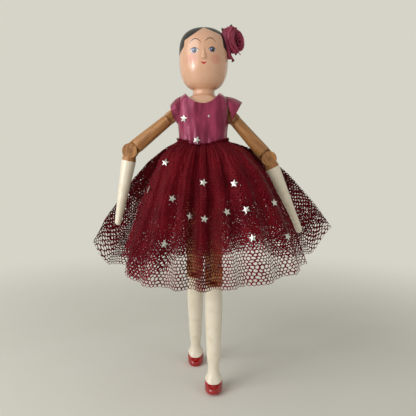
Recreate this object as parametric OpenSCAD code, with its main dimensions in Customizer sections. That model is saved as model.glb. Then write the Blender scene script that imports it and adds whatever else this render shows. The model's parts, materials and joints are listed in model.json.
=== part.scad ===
// Jointed peg doll in a satin and net dress.
// The doll faces -Y and stands on the plane z = 0, its left foot forward.
// "right" and "left" are the doll's own: right is -X.

/* [Head] */
// Width of the turned head
head_w = 40.8; // [36:0.2:46]
// Height of the crown above the widest ring
crown_h = 20; // [17:0.5:25]
// Height from the widest ring down to the tip of the chin curve
chin_h = 33.5; // [29:0.5:37]
// Squareness of the egg outline, 2 is an ellipse
egg_power = 2.6; // [2:0.1:3]
// Width of the neck
neck_w = 19.4; // [16:0.2:22]
// Height from the shoulder line to the widest ring of the head
head_rise = 43.5; // [42:0.5:50]
// Height of the nose wedge
nose_h = 9.4; // [7:0.2:11]
// Width of the nose wedge at its foot
nose_w = 3.8; // [3:0.1:5]
// How far the nose stands out of the face
nose_out = 2.4; // [1.5:0.1:3.5]
// Angle that the face is turned towards the doll's right
face_turn = 3.5; // [0:0.5:8]

/* [Torso] */
// Width of the chest
chest_w = 41; // [37:0.5:45]
// Width of the waist
waist_w = 37.6; // [33:0.5:40]
// Width of the hips
hips_w = 38.4; // [36:0.5:42]
// How far the torso's middle lies to the doll's right of its head and hips
torso_shift = 0.5; // [0:0.5:4]
// Depth of the torso between its planed front and back
torso_d = 26; // [24:0.5:30]
// Height of the shoulder line above the hip joint
shoulder_rise = 68.4; // [64:0.2:72]
// Distance between the shoulder joints
shoulder_span = 34; // [32:0.5:35]
// Wood between each shoulder joint and the side of the shoulders
shoulder_wall = 3.5; // [3:0.1:4.5]
// Width of the block that holds the hip joint
hip_block_w = 34; // [33:0.5:38]

/* [Arms] */
// Length of the right upper arm from shoulder joint to elbow joint
right_upper_arm_l = 58; // [54:1:64]
// Length of the left upper arm from shoulder joint to elbow joint
left_upper_arm_l = 58; // [54:1:64]
// Length of the right forearm from elbow joint to its blunt tip
right_forearm_l = 65; // [55:1:72]
// Length of the left forearm from elbow joint to its blunt tip
left_forearm_l = 70; // [55:1:72]
// Width of the upper arm under the shoulder
arm_top_w = 10; // [8:0.2:11]
// Width of the upper arm above the elbow
arm_elbow_w = 12.4; // [11:0.2:13.6]
// Width of the forearm's tip
arm_tip_w = 5.6; // [4:0.2:8]
// Angle of the right upper arm out from straight down
right_arm_out = 51; // [46:1:75]
// Angle of the left upper arm out from straight down
left_arm_out = 42; // [38:1:75]
// Bend of the right elbow
right_elbow_bend = 40; // [10:1:60]
// Bend of the left elbow
left_elbow_bend = 18; // [5:1:45]

/* [Legs] */
// Length of the thigh from hip joint to knee joint
thigh_l = 74; // [66:1:84]
// Length of the lower leg from knee joint to sole
shin_l = 100; // [90:1:112]
// Width of the thigh
thigh_w = 14.6; // [12.5:0.1:15.2]
// Width of the lower leg at the calf
calf_w = 14.8; // [12.5:0.1:15.6]
// Width of the ankle
ankle_w = 10.8; // [8.5:0.1:12.5]
// Distance from the middle of one leg to the middle of the other
leg_span = 16.6; // [16.4:0.1:18]
// Angle of the right leg behind straight down
step_back = 12; // [6:1:14]

/* [Shoes] */
// Width of the shoe
shoe_w = 15.2; // [13:0.1:16]
// Reach of the toe in front of the leg's middle
toe_l = 14; // [11:0.2:17]
// Reach of the heel behind the leg's middle
heel_l = 6.6; // [5:0.2:8]
// Height of the shoe at the toe
toe_h = 5.4; // [4:0.2:7]
// Height of the shoe's top edge at the ankle
shoe_h = 11; // [9:0.2:14]

/* [Joints] */
// Diameter of every wooden peg
peg_d = 3.6; // [2.8:0.1:4.2]
// Clearance between a peg and its hole, on the radius
peg_fit = 0.05; // [0.02:0.01:0.1]
// Clearance between a tongue and its slot on each side
slot_fit = 0.3; // [0.2:0.05:0.5]
// Clearance between a round knuckle and the shoulder that it turns under
knuckle_fit = 0.4; // [0.3:0.05:0.6]
// Thickness of the arm tongues
arm_tongue_t = 4.8; // [4:0.1:5.6]
// Thickness of the leg tongues
leg_tongue_t = 5.8; // [5:0.1:6.4]
// How far a peg stands proud of the wood at each end
peg_proud = 0.3; // [0.1:0.05:0.6]

/* [Bodice] */
// Thickness of the satin
satin_t = 0.6; // [0.4:0.1:0.9]
// Air between the satin and the wood
satin_gap = 0.3; // [0.2:0.05:0.5]
// Height of the waist seam above the hip joint
waist_rise = 36.6; // [34:0.2:40]
// Radius of the scooped neckline
neckline_r = 15; // [13:0.5:17]
// Depth of the neckline below the shoulder line at the front
neckline_drop = 6.2; // [4:0.2:9]
// Radius of the armhole
armhole_r = 11.4; // [11:0.2:12]
// Reach of the right cap sleeve from the shoulder joint
right_sleeve_l = 12; // [11:0.5:15]
// Reach of the left cap sleeve from the shoulder joint
left_sleeve_l = 13; // [12:0.5:16]
// Width across the mouth of the right cap sleeve
right_sleeve_w = 16.4; // [15:0.2:19]
// Width across the mouth of the left cap sleeve
left_sleeve_w = 19.6; // [18:0.2:22]

/* [Skirt] */
// Cut length of the top net, from waist to hem
net_l = 118; // [104:1:130]
// Thickness of one net layer with its crumple
net_t = 0.5; // [0.4:0.05:0.6]
// Distance from one net layer to the next
net_pitch = 1.2; // [1.1:0.05:1.6]
// Reach of the front hem outward from the waist
front_out = 37; // [28:1:48]
// Reach of the right front corner outward from the waist
right_corner_out = 50; // [42:1:64]
// Reach of the left front corner outward from the waist
left_corner_out = 64; // [50:1:72]
// Reach of the back hem outward from the waist
back_out = 38; // [28:1:48]
// Reach of the right side wing outward from the waist
right_wing_out = 78; // [70:1:90]
// Reach of the left side wing outward from the waist
left_wing_out = 91; // [76:1:96]
// Share of its reach that the right wing puffs out before it falls
right_puff_share = 0.3; // [0.2:0.02:0.4]
// Share of its reach that the left wing puffs out before it falls
left_puff_share = 0.42; // [0.3:0.02:0.5]
// Length that is cut off the net at its right front corner
corner_cut = 8; // [0:1:12]
// Length that the net gains just behind each side opening
wing_extra = 18; // [0:1:20]
// Share of the top net's length that the underskirt covers
under_share = 0.64; // [0.5:0.02:0.72]
// Height of the main folds at the hem
fold_h = 3.4; // [2:0.2:4]
// Depth of the waist tape that the net is gathered on
tape_h = 5; // [4:0.2:6]

/* [Trim] */
// Width of a star sequin from point to point
star_w = 6.6; // [5:0.2:8]
// Thickness of a star sequin
star_t = 0.3; // [0.2:0.05:0.5]
// Air between a star and the cloth that it is sewn to
star_gap = 0.45; // [0.4:0.05:0.6]
// Diameter of the rolled ribbon rose
rose_d = 16; // [13:0.5:18]
// Depth of the rolled ribbon rose
rose_l = 7; // [5:0.5:9]
// Width of the ribbon that is folded behind the rose
ribbon_w = 11; // [9:0.5:14]

/* [Hidden] */
$fn = 64;

skin = "#d9a98c";
cream = "#e7e1cb";
bare_wood = "#b9803f";
satin = "#b5476a";
net = "#6e1f2f";
silver = "#c9ccd2";
leaf_green = "#26352a";

over = 2 * peg_fit + satin_t;        // overrun of every cut
peg_r = peg_d / 2;
hole_r = peg_r + peg_fit;

// Legs: a knuckle turns under a flat shoulder with knuckle_fit between them.
hip_knuckle_r = thigh_w * 0.6;
hip_shoulder = hip_knuckle_r + knuckle_fit;
hip_tongue_r = thigh_w * 0.46;
knee_r = calf_w * 0.48;
knee_shoulder = knee_r + knuckle_fit;
knee_tongue_r = thigh_w * 0.44;
leg_x = leg_span / 2;

// The toe of each shoe springs up by the angle that the right leg leans back,
// so the back foot rests on its toe and the front foot on its sole.
ball_l = toe_l * 0.3;
leg_l = thigh_l + shin_l;
hip_z = leg_l * cos(step_back) + ball_l * sin(step_back);
step_forward = acos((hip_z - shin_l) / thigh_l);

shoulder_z = hip_z + shoulder_rise;
shoulder_x = shoulder_span / 2;
shoulder_r = shoulder_x + shoulder_wall;
waist_z = hip_z + waist_rise;
head_z = shoulder_z + head_rise;
head_r = head_w / 2;
neck_r = neck_w / 2;
chest_r = chest_w / 2;
waist_r = waist_w / 2;
hips_r = hips_w / 2;
half_d = torso_d / 2;

// Arms
arm_knuckle_r = arm_elbow_w * 0.51;
elbow_shoulder = arm_knuckle_r + knuckle_fit;
elbow_tongue_r = arm_elbow_w * 0.46;
shoulder_tongue_r = arm_top_w * 0.5;
shoulder_tongue_l = shoulder_tongue_r + arm_top_w;
forearm_d = arm_elbow_w * 0.9;

// Outline of the egg head as shares of its radius and heights, by formula.
egg_steps = 14;
function egg_r(share) = head_r * pow(1 - pow(share, egg_power), 1 / egg_power);
neck_foot_z = shoulder_z + neck_r * 0.7;
neck_meets_share = pow(1 - pow(neck_r / head_r, egg_power), 1 / egg_power);

// Radius and height of the turned torso, from the shoulders down.
function torso_outline() = [
    [neck_r * 1.25, shoulder_z + neck_r * 0.82],
    [shoulder_r * 0.72, shoulder_z + neck_r * 0.68],
    [shoulder_r * 0.88, shoulder_z + neck_r * 0.46],
    [shoulder_r * 0.97, shoulder_z + neck_r * 0.16],
    [shoulder_r, shoulder_z - neck_r * 0.3],
    [chest_r, shoulder_z - neck_r],
    [waist_r * 1.03, waist_z + neck_r * 0.8],
    [waist_r, waist_z],
    [waist_r, waist_z - neck_r * 0.6],
    [hips_r, hip_z + hip_knuckle_r * 2.2],
    [hips_r * 0.96, hip_z + hip_knuckle_r * 1.6],
    [hips_r * 0.84, hip_z + hip_knuckle_r * 1.2]
];

module head_body(grow = 0) {
    rotate_extrude()
        polygon(concat(
            [[0, head_z + crown_h + grow]],
            [for (i = [egg_steps - 1 : -1 : 1])
                [egg_r(i / egg_steps) + grow, head_z + crown_h * i / egg_steps + grow * i / egg_steps]],
            [for (i = [0 : egg_steps])
                let (share = neck_meets_share * i / egg_steps)
                [egg_r(share) + grow, head_z - chin_h * share]],
            [[neck_r * 0.98 + grow, shoulder_z + neck_r * 1.15], [neck_r * 1.05 + grow, neck_foot_z],
                [0, neck_foot_z]]
        ));
}

module turned_torso(grow = 0) {
    outline = torso_outline();
    last = outline[len(outline) - 1];
    rotate_extrude()
        polygon(concat(
            [[0, outline[0][1]]],
            [for (p = outline) [p[0] + grow, p[1] + (p[1] > shoulder_z ? grow : 0)]],
            [[0, last[1]]]
        ));
}

// The turned torso with its front and back planed flat below the neck.
module torso_body(grow = 0) {
    off_middle() intersection() {
        turned_torso(grow);
        translate([-chest_w, -half_d - grow, 0])
            cube([2 * chest_w, torso_d + 2 * grow, shoulder_z + chest_w]);
    }
}

module off_middle() { translate([-torso_shift, 0, 0]) children(); }

module along_x(length, radius) {
    rotate([0, 90, 0]) cylinder(h = length, r = radius, center = true);
}

module along_y(length, radius) {
    rotate([90, 0, 0]) cylinder(h = length, r = radius, center = true);
}

// Block under the hips, round below so that the thighs swing past it.
module hip_block() {
    translate([0, 0, hip_z]) {
        along_x(hip_block_w, hip_knuckle_r);
        translate([-hip_block_w / 2, -hip_knuckle_r, 0])
            cube([hip_block_w, 2 * hip_knuckle_r, hip_knuckle_r * 1.3]);
    }
}

module shoulder_slot(side) {
    slot_t = arm_tongue_t + 2 * slot_fit;
    inner_x = shoulder_x - shoulder_tongue_r - knuckle_fit;
    low_z = shoulder_z - shoulder_tongue_l - arm_top_w * 0.2;
    off_middle() mirror([side < 0 ? 1 : 0, 0, 0])
        translate([inner_x, -slot_t / 2, low_z])
            cube([chest_w, slot_t, shoulder_z + neck_r - low_z]);
}

module head_and_torso() {
    slot_w = leg_tongue_t + 2 * slot_fit;
    slot_top = hip_tongue_r + knuckle_fit;
    difference() {
        union() {
            color(skin) head_body();
            color(skin) torso_body();
            color(bare_wood) hip_block();
        }
        for (side = [-1, 1]) {
            shoulder_slot(side);
            off_middle() translate([side * shoulder_x, 0, shoulder_z]) along_y(2 * torso_d, hole_r);
            translate([side * leg_x - slot_w / 2, -torso_d, hip_z - 2 * hip_knuckle_r])
                cube([slot_w, 2 * torso_d, 2 * hip_knuckle_r + slot_top]);
        }
        translate([0, 0, hip_z]) along_x(2 * hips_w, hole_r);
    }
}

// A wedge glued to the face: narrow at the brow, widest and proudest at its foot.
module nose() {
    foot_z = head_z - nose_h * 0.9;
    color(skin)
    rotate([0, 0, -face_turn])
    difference() {
        intersection() {
            translate([0, -head_r, foot_z]) rotate([90, 0, 90])
                linear_extrude(nose_w, center = true)
                    polygon([
                        [nose_w, 0], [-nose_out, nose_h * 0.08], [-nose_out * 0.75, nose_h * 0.3],
                        [nose_out * 0.1, nose_h], [nose_w, nose_h]
                    ]);
            translate([0, 0, foot_z]) rotate([90, 0, 0])
                linear_extrude(2 * head_w)
                    polygon([
                        [-nose_w / 2, 0], [nose_w / 2, 0],
                        [nose_w * 0.2, nose_h], [-nose_w * 0.2, nose_h]
                    ]);
        }
        head_body(peg_fit);
    }
}

// Upper arm: its shoulder joint at the origin, its elbow straight below.
module upper_arm_shape(upper_arm_l) {
    body_top = shoulder_tongue_l;
    body_end = upper_arm_l - elbow_shoulder;
    difference() {
        union() {
            along_y(arm_tongue_t, shoulder_tongue_r);
            translate([-shoulder_tongue_r, -arm_tongue_t / 2, -body_top - over])
                cube([2 * shoulder_tongue_r, arm_tongue_t, body_top + over]);
            translate([0, 0, -body_top - arm_top_w * 0.3])
                cylinder(h = arm_top_w * 0.3, r1 = arm_top_w / 2, r2 = arm_top_w * 0.36);
            translate([0, 0, -body_end])
                cylinder(h = body_end - body_top - arm_top_w * 0.3, r1 = arm_elbow_w / 2, r2 = arm_top_w / 2);
            translate([-elbow_tongue_r, -arm_tongue_t / 2, -upper_arm_l])
                cube([2 * elbow_tongue_r, arm_tongue_t, elbow_shoulder + over]);
            translate([0, 0, -upper_arm_l]) along_y(arm_tongue_t, elbow_tongue_r);
        }
        along_y(2 * arm_top_w, hole_r);
        translate([0, 0, -upper_arm_l]) along_y(2 * arm_elbow_w, hole_r);
    }
}

// Forearm: its elbow joint at the origin, its blunt tip straight below.
module forearm_shape(forearm_l) {
    tip_r = arm_tip_w / 2;
    slot_t = arm_tongue_t + 2 * slot_fit;
    slot_r = elbow_tongue_r + knuckle_fit;
    difference() {
        union() {
            along_y(forearm_d, arm_knuckle_r);
            translate([0, 0, -arm_knuckle_r * 1.6])
                cylinder(h = arm_knuckle_r * 1.6, r1 = arm_knuckle_r * 0.97, r2 = forearm_d / 2);
            translate([0, 0, -forearm_l + tip_r])
                cylinder(h = forearm_l - tip_r - arm_knuckle_r * 1.6, r1 = tip_r, r2 = arm_knuckle_r * 0.97);
            translate([0, 0, -forearm_l + tip_r]) sphere(r = tip_r);
        }
        translate([-arm_elbow_w, -slot_t / 2, -slot_r])
            cube([2 * arm_elbow_w, slot_t, slot_r + 2 * arm_knuckle_r]);
        along_y(2 * arm_elbow_w, hole_r);
    }
}

// Thigh: its hip joint at the origin, its knee straight below.
module thigh_shape() {
    body_end = thigh_l - knee_shoulder;
    thigh_r = thigh_w / 2;
    difference() {
        union() {
            along_x(leg_tongue_t, hip_tongue_r);
            translate([-leg_tongue_t / 2, -hip_tongue_r, -hip_shoulder - over])
                cube([leg_tongue_t, 2 * hip_tongue_r, hip_shoulder + over]);
            translate([0, 0, -body_end])
                cylinder(h = body_end - hip_shoulder, r = thigh_r);
            translate([-leg_tongue_t / 2, -knee_tongue_r, -thigh_l])
                cube([leg_tongue_t, 2 * knee_tongue_r, knee_shoulder + over]);
            translate([0, 0, -thigh_l]) along_x(leg_tongue_t, knee_tongue_r);
        }
        along_x(2 * thigh_w, hole_r);
        translate([0, 0, -thigh_l]) along_x(2 * thigh_w, hole_r);
    }
}

// Side view of the shoe, in shares of its own sizes; x runs forward.
module shoe_side() {
    spring = (toe_l - ball_l) * tan(step_back);
    polygon([
        [-heel_l, 0], [ball_l, 0], [toe_l, spring], [toe_l, spring + toe_h * 0.55],
        [toe_l * 0.86, spring + toe_h * 0.92], [toe_l * 0.6, toe_h * 1.35],
        [ankle_w * 0.5, shoe_h], [-ankle_w * 0.5, shoe_h],
        [-heel_l * 0.98, shoe_h * 0.6]
    ]);
}

// Sole view of the shoe: round heel, widest at the ball, blunt pointed toe.
module shoe_sole() {
    half = shoe_w / 2;
    polygon([
        for (side = [1, -1])
            let (half_points = [
                [-heel_l, 0], [-heel_l * 0.94, half * 0.38], [-heel_l * 0.7, half * 0.66],
                [-heel_l * 0.3, half * 0.84], [toe_l * 0.12, half * 0.95], [toe_l * 0.4, half],
                [toe_l * 0.65, half * 0.9], [toe_l * 0.85, half * 0.66],
                [toe_l * 0.96, half * 0.36], [toe_l, 0]
            ])
            for (i = side > 0 ? [0 : len(half_points) - 1] : [len(half_points) - 2 : -1 : 1])
                [half_points[i][0], side * half_points[i][1]]
    ]);
}

// Lower leg with its carved shoe: its knee joint at the origin, its sole below.
module lower_leg_shape() {
    slot_w = leg_tongue_t + 2 * slot_fit;
    slot_r = knee_tongue_r + knuckle_fit;
    calf_r = calf_w / 2;
    ankle_r = ankle_w / 2;
    calf_z = -shin_l * 0.3;
    ankle_z = -shin_l + shoe_h * 1.6;
    difference() {
        union() {
            along_x(calf_w * 0.97, knee_r);
            translate([-calf_w * 0.485, -knee_r, 0]) cube([calf_w * 0.97, knee_r, knee_r]);
            rotate_extrude() polygon([
                [0, 0], [knee_r * 0.99, 0], [calf_r, calf_z], [ankle_r, ankle_z],
                [ankle_r * 1.25, -shin_l + shoe_h * 0.9], [0, -shin_l + shoe_h * 0.9]
            ]);
            intersection() {
                translate([0, 0, -shin_l]) rotate([90, 0, -90])
                    linear_extrude(shoe_w, center = true) shoe_side();
                translate([0, 0, -shin_l]) rotate([0, 0, -90])
                    linear_extrude(2 * shoe_h) shoe_sole();
            }
        }
        translate([-slot_w / 2, -calf_w, -slot_r])
            cube([slot_w, 2 * calf_w, slot_r + 2 * knee_r]);
        along_x(2 * calf_w, hole_r);
    }
}

// Where each limb hangs. side is -1 for the doll's right and 1 for its left.
function upper_arm(side) = side < 0 ? right_upper_arm_l : left_upper_arm_l;
function forearm(side) = side < 0 ? right_forearm_l : left_forearm_l;
function arm_out(side) = side < 0 ? right_arm_out : left_arm_out;
function elbow_bend(side) = side < 0 ? right_elbow_bend : left_elbow_bend;
function thigh_turn(side) = side < 0 ? step_back : -step_forward;
function knee_turn(side) = side < 0 ? 0 : step_forward;

module at_shoulder(side) {
    off_middle() translate([side * shoulder_x, 0, shoulder_z])
        rotate([0, -side * arm_out(side), 0]) children();
}

module at_elbow(side) {
    at_shoulder(side) translate([0, 0, -upper_arm(side)])
        rotate([0, side * elbow_bend(side), 0]) children();
}

module at_hip(side) {
    translate([side * leg_x, 0, hip_z])
        rotate([thigh_turn(side), 0, 0]) children();
}

module at_knee(side) {
    at_hip(side) translate([0, 0, -thigh_l])
        rotate([knee_turn(side), 0, 0]) children();
}

// The satin lies satin_gap off the wood; grow is how far a surface is from it.
module satin_shell() {
    difference() {
        torso_body(satin_gap + satin_t);
        torso_body(satin_gap);
        head_body(satin_gap);
        translate([-chest_w, -chest_w, 0]) cube([2 * chest_w, 2 * chest_w, seam_z]);
        off_middle() translate([0, 0, neckline_z]) along_y(4 * torso_d, neckline_r);
        for (side = [-1, 1])
            off_middle() translate([side * (armhole_x + chest_w), 0, shoulder_z - armhole_r * 0.3])
                along_x(2 * chest_w, armhole_r);
    }
}

neckline_z = shoulder_z + neck_r * 0.82 - neckline_drop + neckline_r;
armhole_x = shoulder_x - shoulder_tongue_r - knuckle_fit;
net_stack = 4 * net_pitch;
seam_z = waist_z + net_stack + satin_gap;

module half_bodice(front) {
    color(satin)
    intersection() {
        satin_shell();
        translate([-chest_w, front ? -2 * chest_w : satin_gap / 2, 0])
            cube([2 * chest_w, 2 * chest_w - satin_gap / 2, shoulder_z + chest_w]);
    }
}

// A short flared tube round the shoulder, open to the arm.
module sleeve(side) {
    sleeve_l = side < 0 ? right_sleeve_l : left_sleeve_l;
    mouth_r = (side < 0 ? right_sleeve_w : left_sleeve_w) / 2;
    root_r = mouth_r * 0.86;
    sleeve_lift = side < 0 ? 8 : 14;
    cut_x = shoulder_r + satin_t + 2 * satin_gap;
    color(satin)
    intersection() {
        off_middle() translate([side * shoulder_x, 0, shoulder_z])
            rotate([0, -side * (arm_out(side) + sleeve_lift), 0])
                translate([0, 0, -sleeve_l])
                    difference() {
                        cylinder(h = sleeve_l, r1 = mouth_r, r2 = root_r);
                        translate([0, 0, -over])
                            cylinder(h = sleeve_l + 2 * over, r1 = mouth_r - satin_t, r2 = root_r - satin_t);
                    }
        off_middle() translate([side > 0 ? cut_x : -cut_x - 2 * chest_w, -chest_w, 0])
            cube([2 * chest_w, 2 * chest_w, shoulder_z + chest_w]);
    }
}

// The net is gathered on a tape that goes round the waist.
module waist_tape() {
    color(satin)
    difference() {
        torso_ring(satin_gap + satin_t);
        torso_ring(satin_gap);
    }
}

module torso_ring(grow) {
    off_middle() intersection() {
        translate([0, 0, waist_z - tape_h]) cylinder(h = tape_h, r = waist_r + grow);
        translate([-chest_w, -half_d - grow, 0])
            cube([2 * chest_w, torso_d + 2 * grow, shoulder_z]);
    }
}

// Net. An angle of 0 is the doll's front, 90 its left side and -90 its right.
fold_count = 18;
fold_steps = 6;
step_a = 360 / fold_count / fold_steps;
under_rows = 4;
corner_rows = 6;
front_edge_steps = 23;
back_edge_steps = 30;
lap_steps = 2;
wing_rise_steps = 3;
wing_fall_steps = 8;
wing_end_steps = 45;

function ease(t) = let (c = min(1, max(0, t))) c * c * (3 - 2 * c);
function mix(a, b, t) = a + (b - a) * t;
function corner_out(a) = a < 0 ? right_corner_out : left_corner_out;
function wing_out(a) = a < 0 ? right_wing_out : left_wing_out;
function edge_share(a) = abs(a) < 90
    ? ease(abs(a) / (front_edge_steps * step_a))
    : ease((180 - abs(a)) / (180 - back_edge_steps * step_a));
function net_out(a) = abs(a) < 90
    ? mix(front_out, corner_out(a), edge_share(a))
    : mix(back_out, wing_out(a), edge_share(a));
function wing_share(a) = abs(a) < 90 ? 0
    : ease((abs(a) - back_edge_steps * step_a) / (wing_rise_steps * step_a))
    * ease((wing_end_steps * step_a - abs(a)) / (wing_fall_steps * step_a));
function cut_l(a) = net_l + wing_extra * wing_share(a);
function net_drop(a) = sqrt(cut_l(a) * cut_l(a) - net_out(a) * net_out(a));
function waist_at(a) = min(waist_r, half_d / max(abs(cos(a)), 0.01)) + 2 * satin_gap + satin_t;

// One bend from nearly level at the waist to the fall of the hem.
puff_drop_share = 0.08;
function puff_share(a) =
    mix(right_puff_share, a < 0 ? right_puff_share : left_puff_share, edge_share(a));
function puff(a) = puff_share(a) * net_out(a) + tape_h;
function fall(a, s) = [
    2 * s * (1 - s) * puff(a) + s * s * net_out(a),
    -2 * s * (1 - s) * puff_drop_share * net_drop(a) - s * s * net_drop(a)
];
function fall_way(a, s) = [
    2 * (1 - 2 * s) * puff(a) + 2 * s * net_out(a),
    -2 * (1 - 2 * s) * puff_drop_share * net_drop(a) - 2 * s * net_drop(a)
];
function fold(a, s) = fold_h * pow(max(s, 0), 0.7) * cos(fold_count * a);
function net_point(a, s, off) =
    let (
        f = fall(a, s),
        w = fall_way(a, s),
        way = w / norm(w),
        r = waist_at(a) + f[0] + fold(a, s) - off * way[1],
        z = waist_z + f[1] + off * way[0]
    )
    [r * sin(a) - torso_shift * (1 - s) * (1 - s), -r * cos(a), z];

// The two halves of a layer lap at the middle of the front and of the back.
function lap(a, side) =
    let (from_middle = abs(a) < 90 ? abs(a) : 180 - abs(a))
    side * net_pitch / 2 * (1 - ease((from_middle - lap_steps * step_a) / (4 * step_a)));

// Rows of a panel, as shares of its length. The underskirt's are even and closed.
function even_shares(rows) = [for (j = [0 : rows]) j / rows];
// The top net has a plain grid of openings that stands for its holes: after the
// gathers at the waist, each opening row is followed by a bar.
open_rows = 5;
open_from_share = 0.2;
bar_share = 0.2;
bar_columns = 3;
top_shares = let (pitch = (1 - open_from_share) / open_rows) concat(
    [0, open_from_share / 2, open_from_share],
    [for (k = [1 : open_rows]) each [
        open_from_share + (k - bar_share) * pitch, open_from_share + k * pitch
    ]]
);

// The net stays whole where a star is sewn on between two angles and two shares.
function starred(low_a, high_a, low_s, high_s) = len([
    for (one = all_star_shares)
        let (a = one[0] + (one[0] < low_a - 180 ? 360 : 0))
        if (a > low_a && a < high_a && one[1] > low_s && one[1] < high_s) 1
]) > 0;

// Corners of one net panel: the inner face row by row, then the outer face.
// shares are its rows, and length_share says how far down each angle they reach.
module net_panel(first, last, shares, off, side, length_share) {
    n = last - first;
    rows = len(shares) - 1;
    is_open = function (i, j)
        let (bar = first + i - i % bar_columns)
        shares == top_shares && j > 1 && j % 2 == 0
        && i % bar_columns > 0 && i < n - n % bar_columns
        && !starred((bar + 1) * step_a, (bar + bar_columns) * step_a, shares[j], shares[j + 1]);
    solid = function (i, j) i >= 0 && i < n && j >= 0 && j < rows && !is_open(i, j);
    side_points = function (grow) [
        for (j = [0 : rows]) for (i = [0 : n])
            let (turned = (first + i) * step_a, a = turned > 180 ? turned - 360 : turned)
            net_point(a, length_share(a) * shares[j], off + grow + lap(a, side))
    ];
    count = (n + 1) * (rows + 1);
    at = function (i, j) j * (n + 1) + i;
    cells = [for (j = [0 : rows - 1]) for (i = [0 : n - 1]) if (solid(i, j)) [i, j]];
    walls = [for (c = cells) let (i = c[0], j = c[1]) each [
        if (!solid(i, j - 1)) [at(i, j), at(i + 1, j)],
        if (!solid(i + 1, j)) [at(i + 1, j), at(i + 1, j + 1)],
        if (!solid(i, j + 1)) [at(i + 1, j + 1), at(i, j + 1)],
        if (!solid(i - 1, j)) [at(i, j + 1), at(i, j)]
    ]];
    color(net)
    polyhedron(
        points = concat(side_points(0), side_points(net_t)),
        faces = concat(
            [for (c = cells) for (half = [0, 1]) let (i = c[0], j = c[1])
                half == 0 ? [at(i, j), at(i + 1, j + 1), at(i + 1, j)]
                          : [at(i, j), at(i, j + 1), at(i + 1, j + 1)]],
            [for (c = cells) for (half = [0, 1]) let (i = c[0], j = c[1])
                half == 0 ? [count + at(i, j), count + at(i + 1, j), count + at(i + 1, j + 1)]
                          : [count + at(i, j), count + at(i + 1, j + 1), count + at(i, j + 1)]],
            [for (w = walls) for (half = [0, 1])
                half == 0 ? [w[0], w[1], count + w[1]] : [w[0], count + w[1], count + w[0]]]
        )
    );
}

module front_net(side, shares, off, length_share) {
    if (side < 0) net_panel(-front_edge_steps, lap_steps, shares, off, -1, length_share);
    else net_panel(-lap_steps, front_edge_steps, shares, off, 1, length_share);
}

module back_net(side, shares, off, length_share) {
    half_turn = 180 / step_a;
    if (side < 0)
        net_panel(half_turn - lap_steps, 2 * half_turn - back_edge_steps, shares, off, -1, length_share);
    else net_panel(back_edge_steps, half_turn + lap_steps, shares, off, 1, length_share);
}

whole = function (a) a > -90
    ? 1 - corner_cut / net_l * ease((-a - 15 * step_a) / ((front_edge_steps - 15) * step_a)) : 1;
// The underskirt is short, but at the right front corner it hangs to the hem.
under = function (a) abs(a) < 90
    ? mix(under_share, whole(a), ease((-a - 8 * step_a) / (8 * step_a))) : under_share;

under_off = net_pitch / 2;
top_off = under_off + 2 * net_pitch;

// Five-pointed star plate with its middle at the origin, facing +Z.
module star() {
    outer = star_w / 2;
    inner_share = 0.45;
    linear_extrude(star_t)
        polygon([for (i = [0 : 9])
            let (r = outer * (i % 2 == 0 ? 1 : inner_share))
            [r * sin(i * 36), r * cos(i * 36)]]);
}

// A star sewn flat to the top net at an angle and a share of the net's length.
module net_star(a, s, turn) {
    tiny = 0.01;
    off = top_off + net_t + abs(lap(a, 1)) + star_gap;
    p = net_point(a, s, off);
    across = net_point(a + tiny, s, off) - net_point(a - tiny, s, off);
    down = net_point(a, s + tiny, off) - net_point(a, s - tiny, off);
    n = cross(across, -down);
    z = n / norm(n);
    x = across / norm(across);
    y = cross(z, x);
    multmatrix([
        [x[0], y[0], z[0], p[0]],
        [x[1], y[1], z[1], p[1]],
        [x[2], y[2], z[2], p[2]],
        [0, 0, 0, 1]
    ])
        rotate([0, 0, turn]) star();
}

// Angle, share of the net's length and turn of each star on the skirt.
right_star_shares = [[-55, 0.34, 10], [-62, 0.56, 40], [-34, 0.6, -8], [-14, 0.69, 20], [-34, 0.83, 5]];
left_star_shares = [
    [0, 0.49, 0], [34, 0.51, 15], [22, 0.67, 30], [37, 0.67, -20], [59, 0.66, 12],
    [1, 0.7, 4], [37, 0.81, 30], [59, 0.84, -12]
];
back_star_shares = [
    [120, 0.4, 0], [140, 0.55, 20], [160, 0.35, 10], [180, 0.7, -10],
    [-160, 0.5, 15], [-140, 0.75, 0], [-120, 0.45, 25], [-106, 0.7, 8], [106, 0.78, -15]
];

all_star_shares = concat(right_star_shares, left_star_shares, back_star_shares);

module net_stars(list) {
    color(silver)
    for (one = list) net_star(one[0], one[1], one[2]);
}

// Stars on the flat front of the bodice: across as a share of the chest's
// radius, height as a share of the shoulder's rise over the waist, and turn.
bodice_star_shares = [[-0.47, 0.54, 20], [-0.15, 0.17, 0], [0.29, 0.62, 45]];
module bodice_stars() {
    color(silver)
    for (one = bodice_star_shares)
        translate([
            chest_r * one[0] - torso_shift,
            -half_d - 2 * satin_gap - satin_t,
            mix(waist_z, shoulder_z, one[1]) + net_stack / 2
        ])
            rotate([90, one[2], 0]) star();
}

// The rose sits on the left temple and looks out and forward.
rose_x = head_r * 1.3;
rose_y = -rose_d * 0.1;
rose_z = head_z + crown_h * 0.42;
rose_out = 40;

// Plan of a rolled ribbon: turns of one spiral, thick in the middle.
module ribbon_roll(turns, wall) {
    steps = 16 * turns;
    pitch = (rose_d / 2 - wall) / turns;
    spiral = function (i, extra)
        let (r = wall * 0.4 + pitch * i / 16 + extra)
        [r * cos(i * 22.5), r * sin(i * 22.5)];
    polygon(concat(
        [for (i = [0 : steps]) spiral(i, 0)],
        [for (i = [steps : -1 : 0]) spiral(i, wall * 0.55)]
    ));
}

module rose_bud() {
    wall = rose_d * 0.09;
    color(satin)
    translate([rose_x, rose_y, rose_z])
        rotate([0, 0, rose_out]) rotate([90, 0, 0]) {
            linear_extrude(rose_l) ribbon_roll(3, wall);
            translate([0, 0, -wall]) cylinder(h = wall + peg_fit, r = rose_d * 0.46);
        }
}

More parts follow.
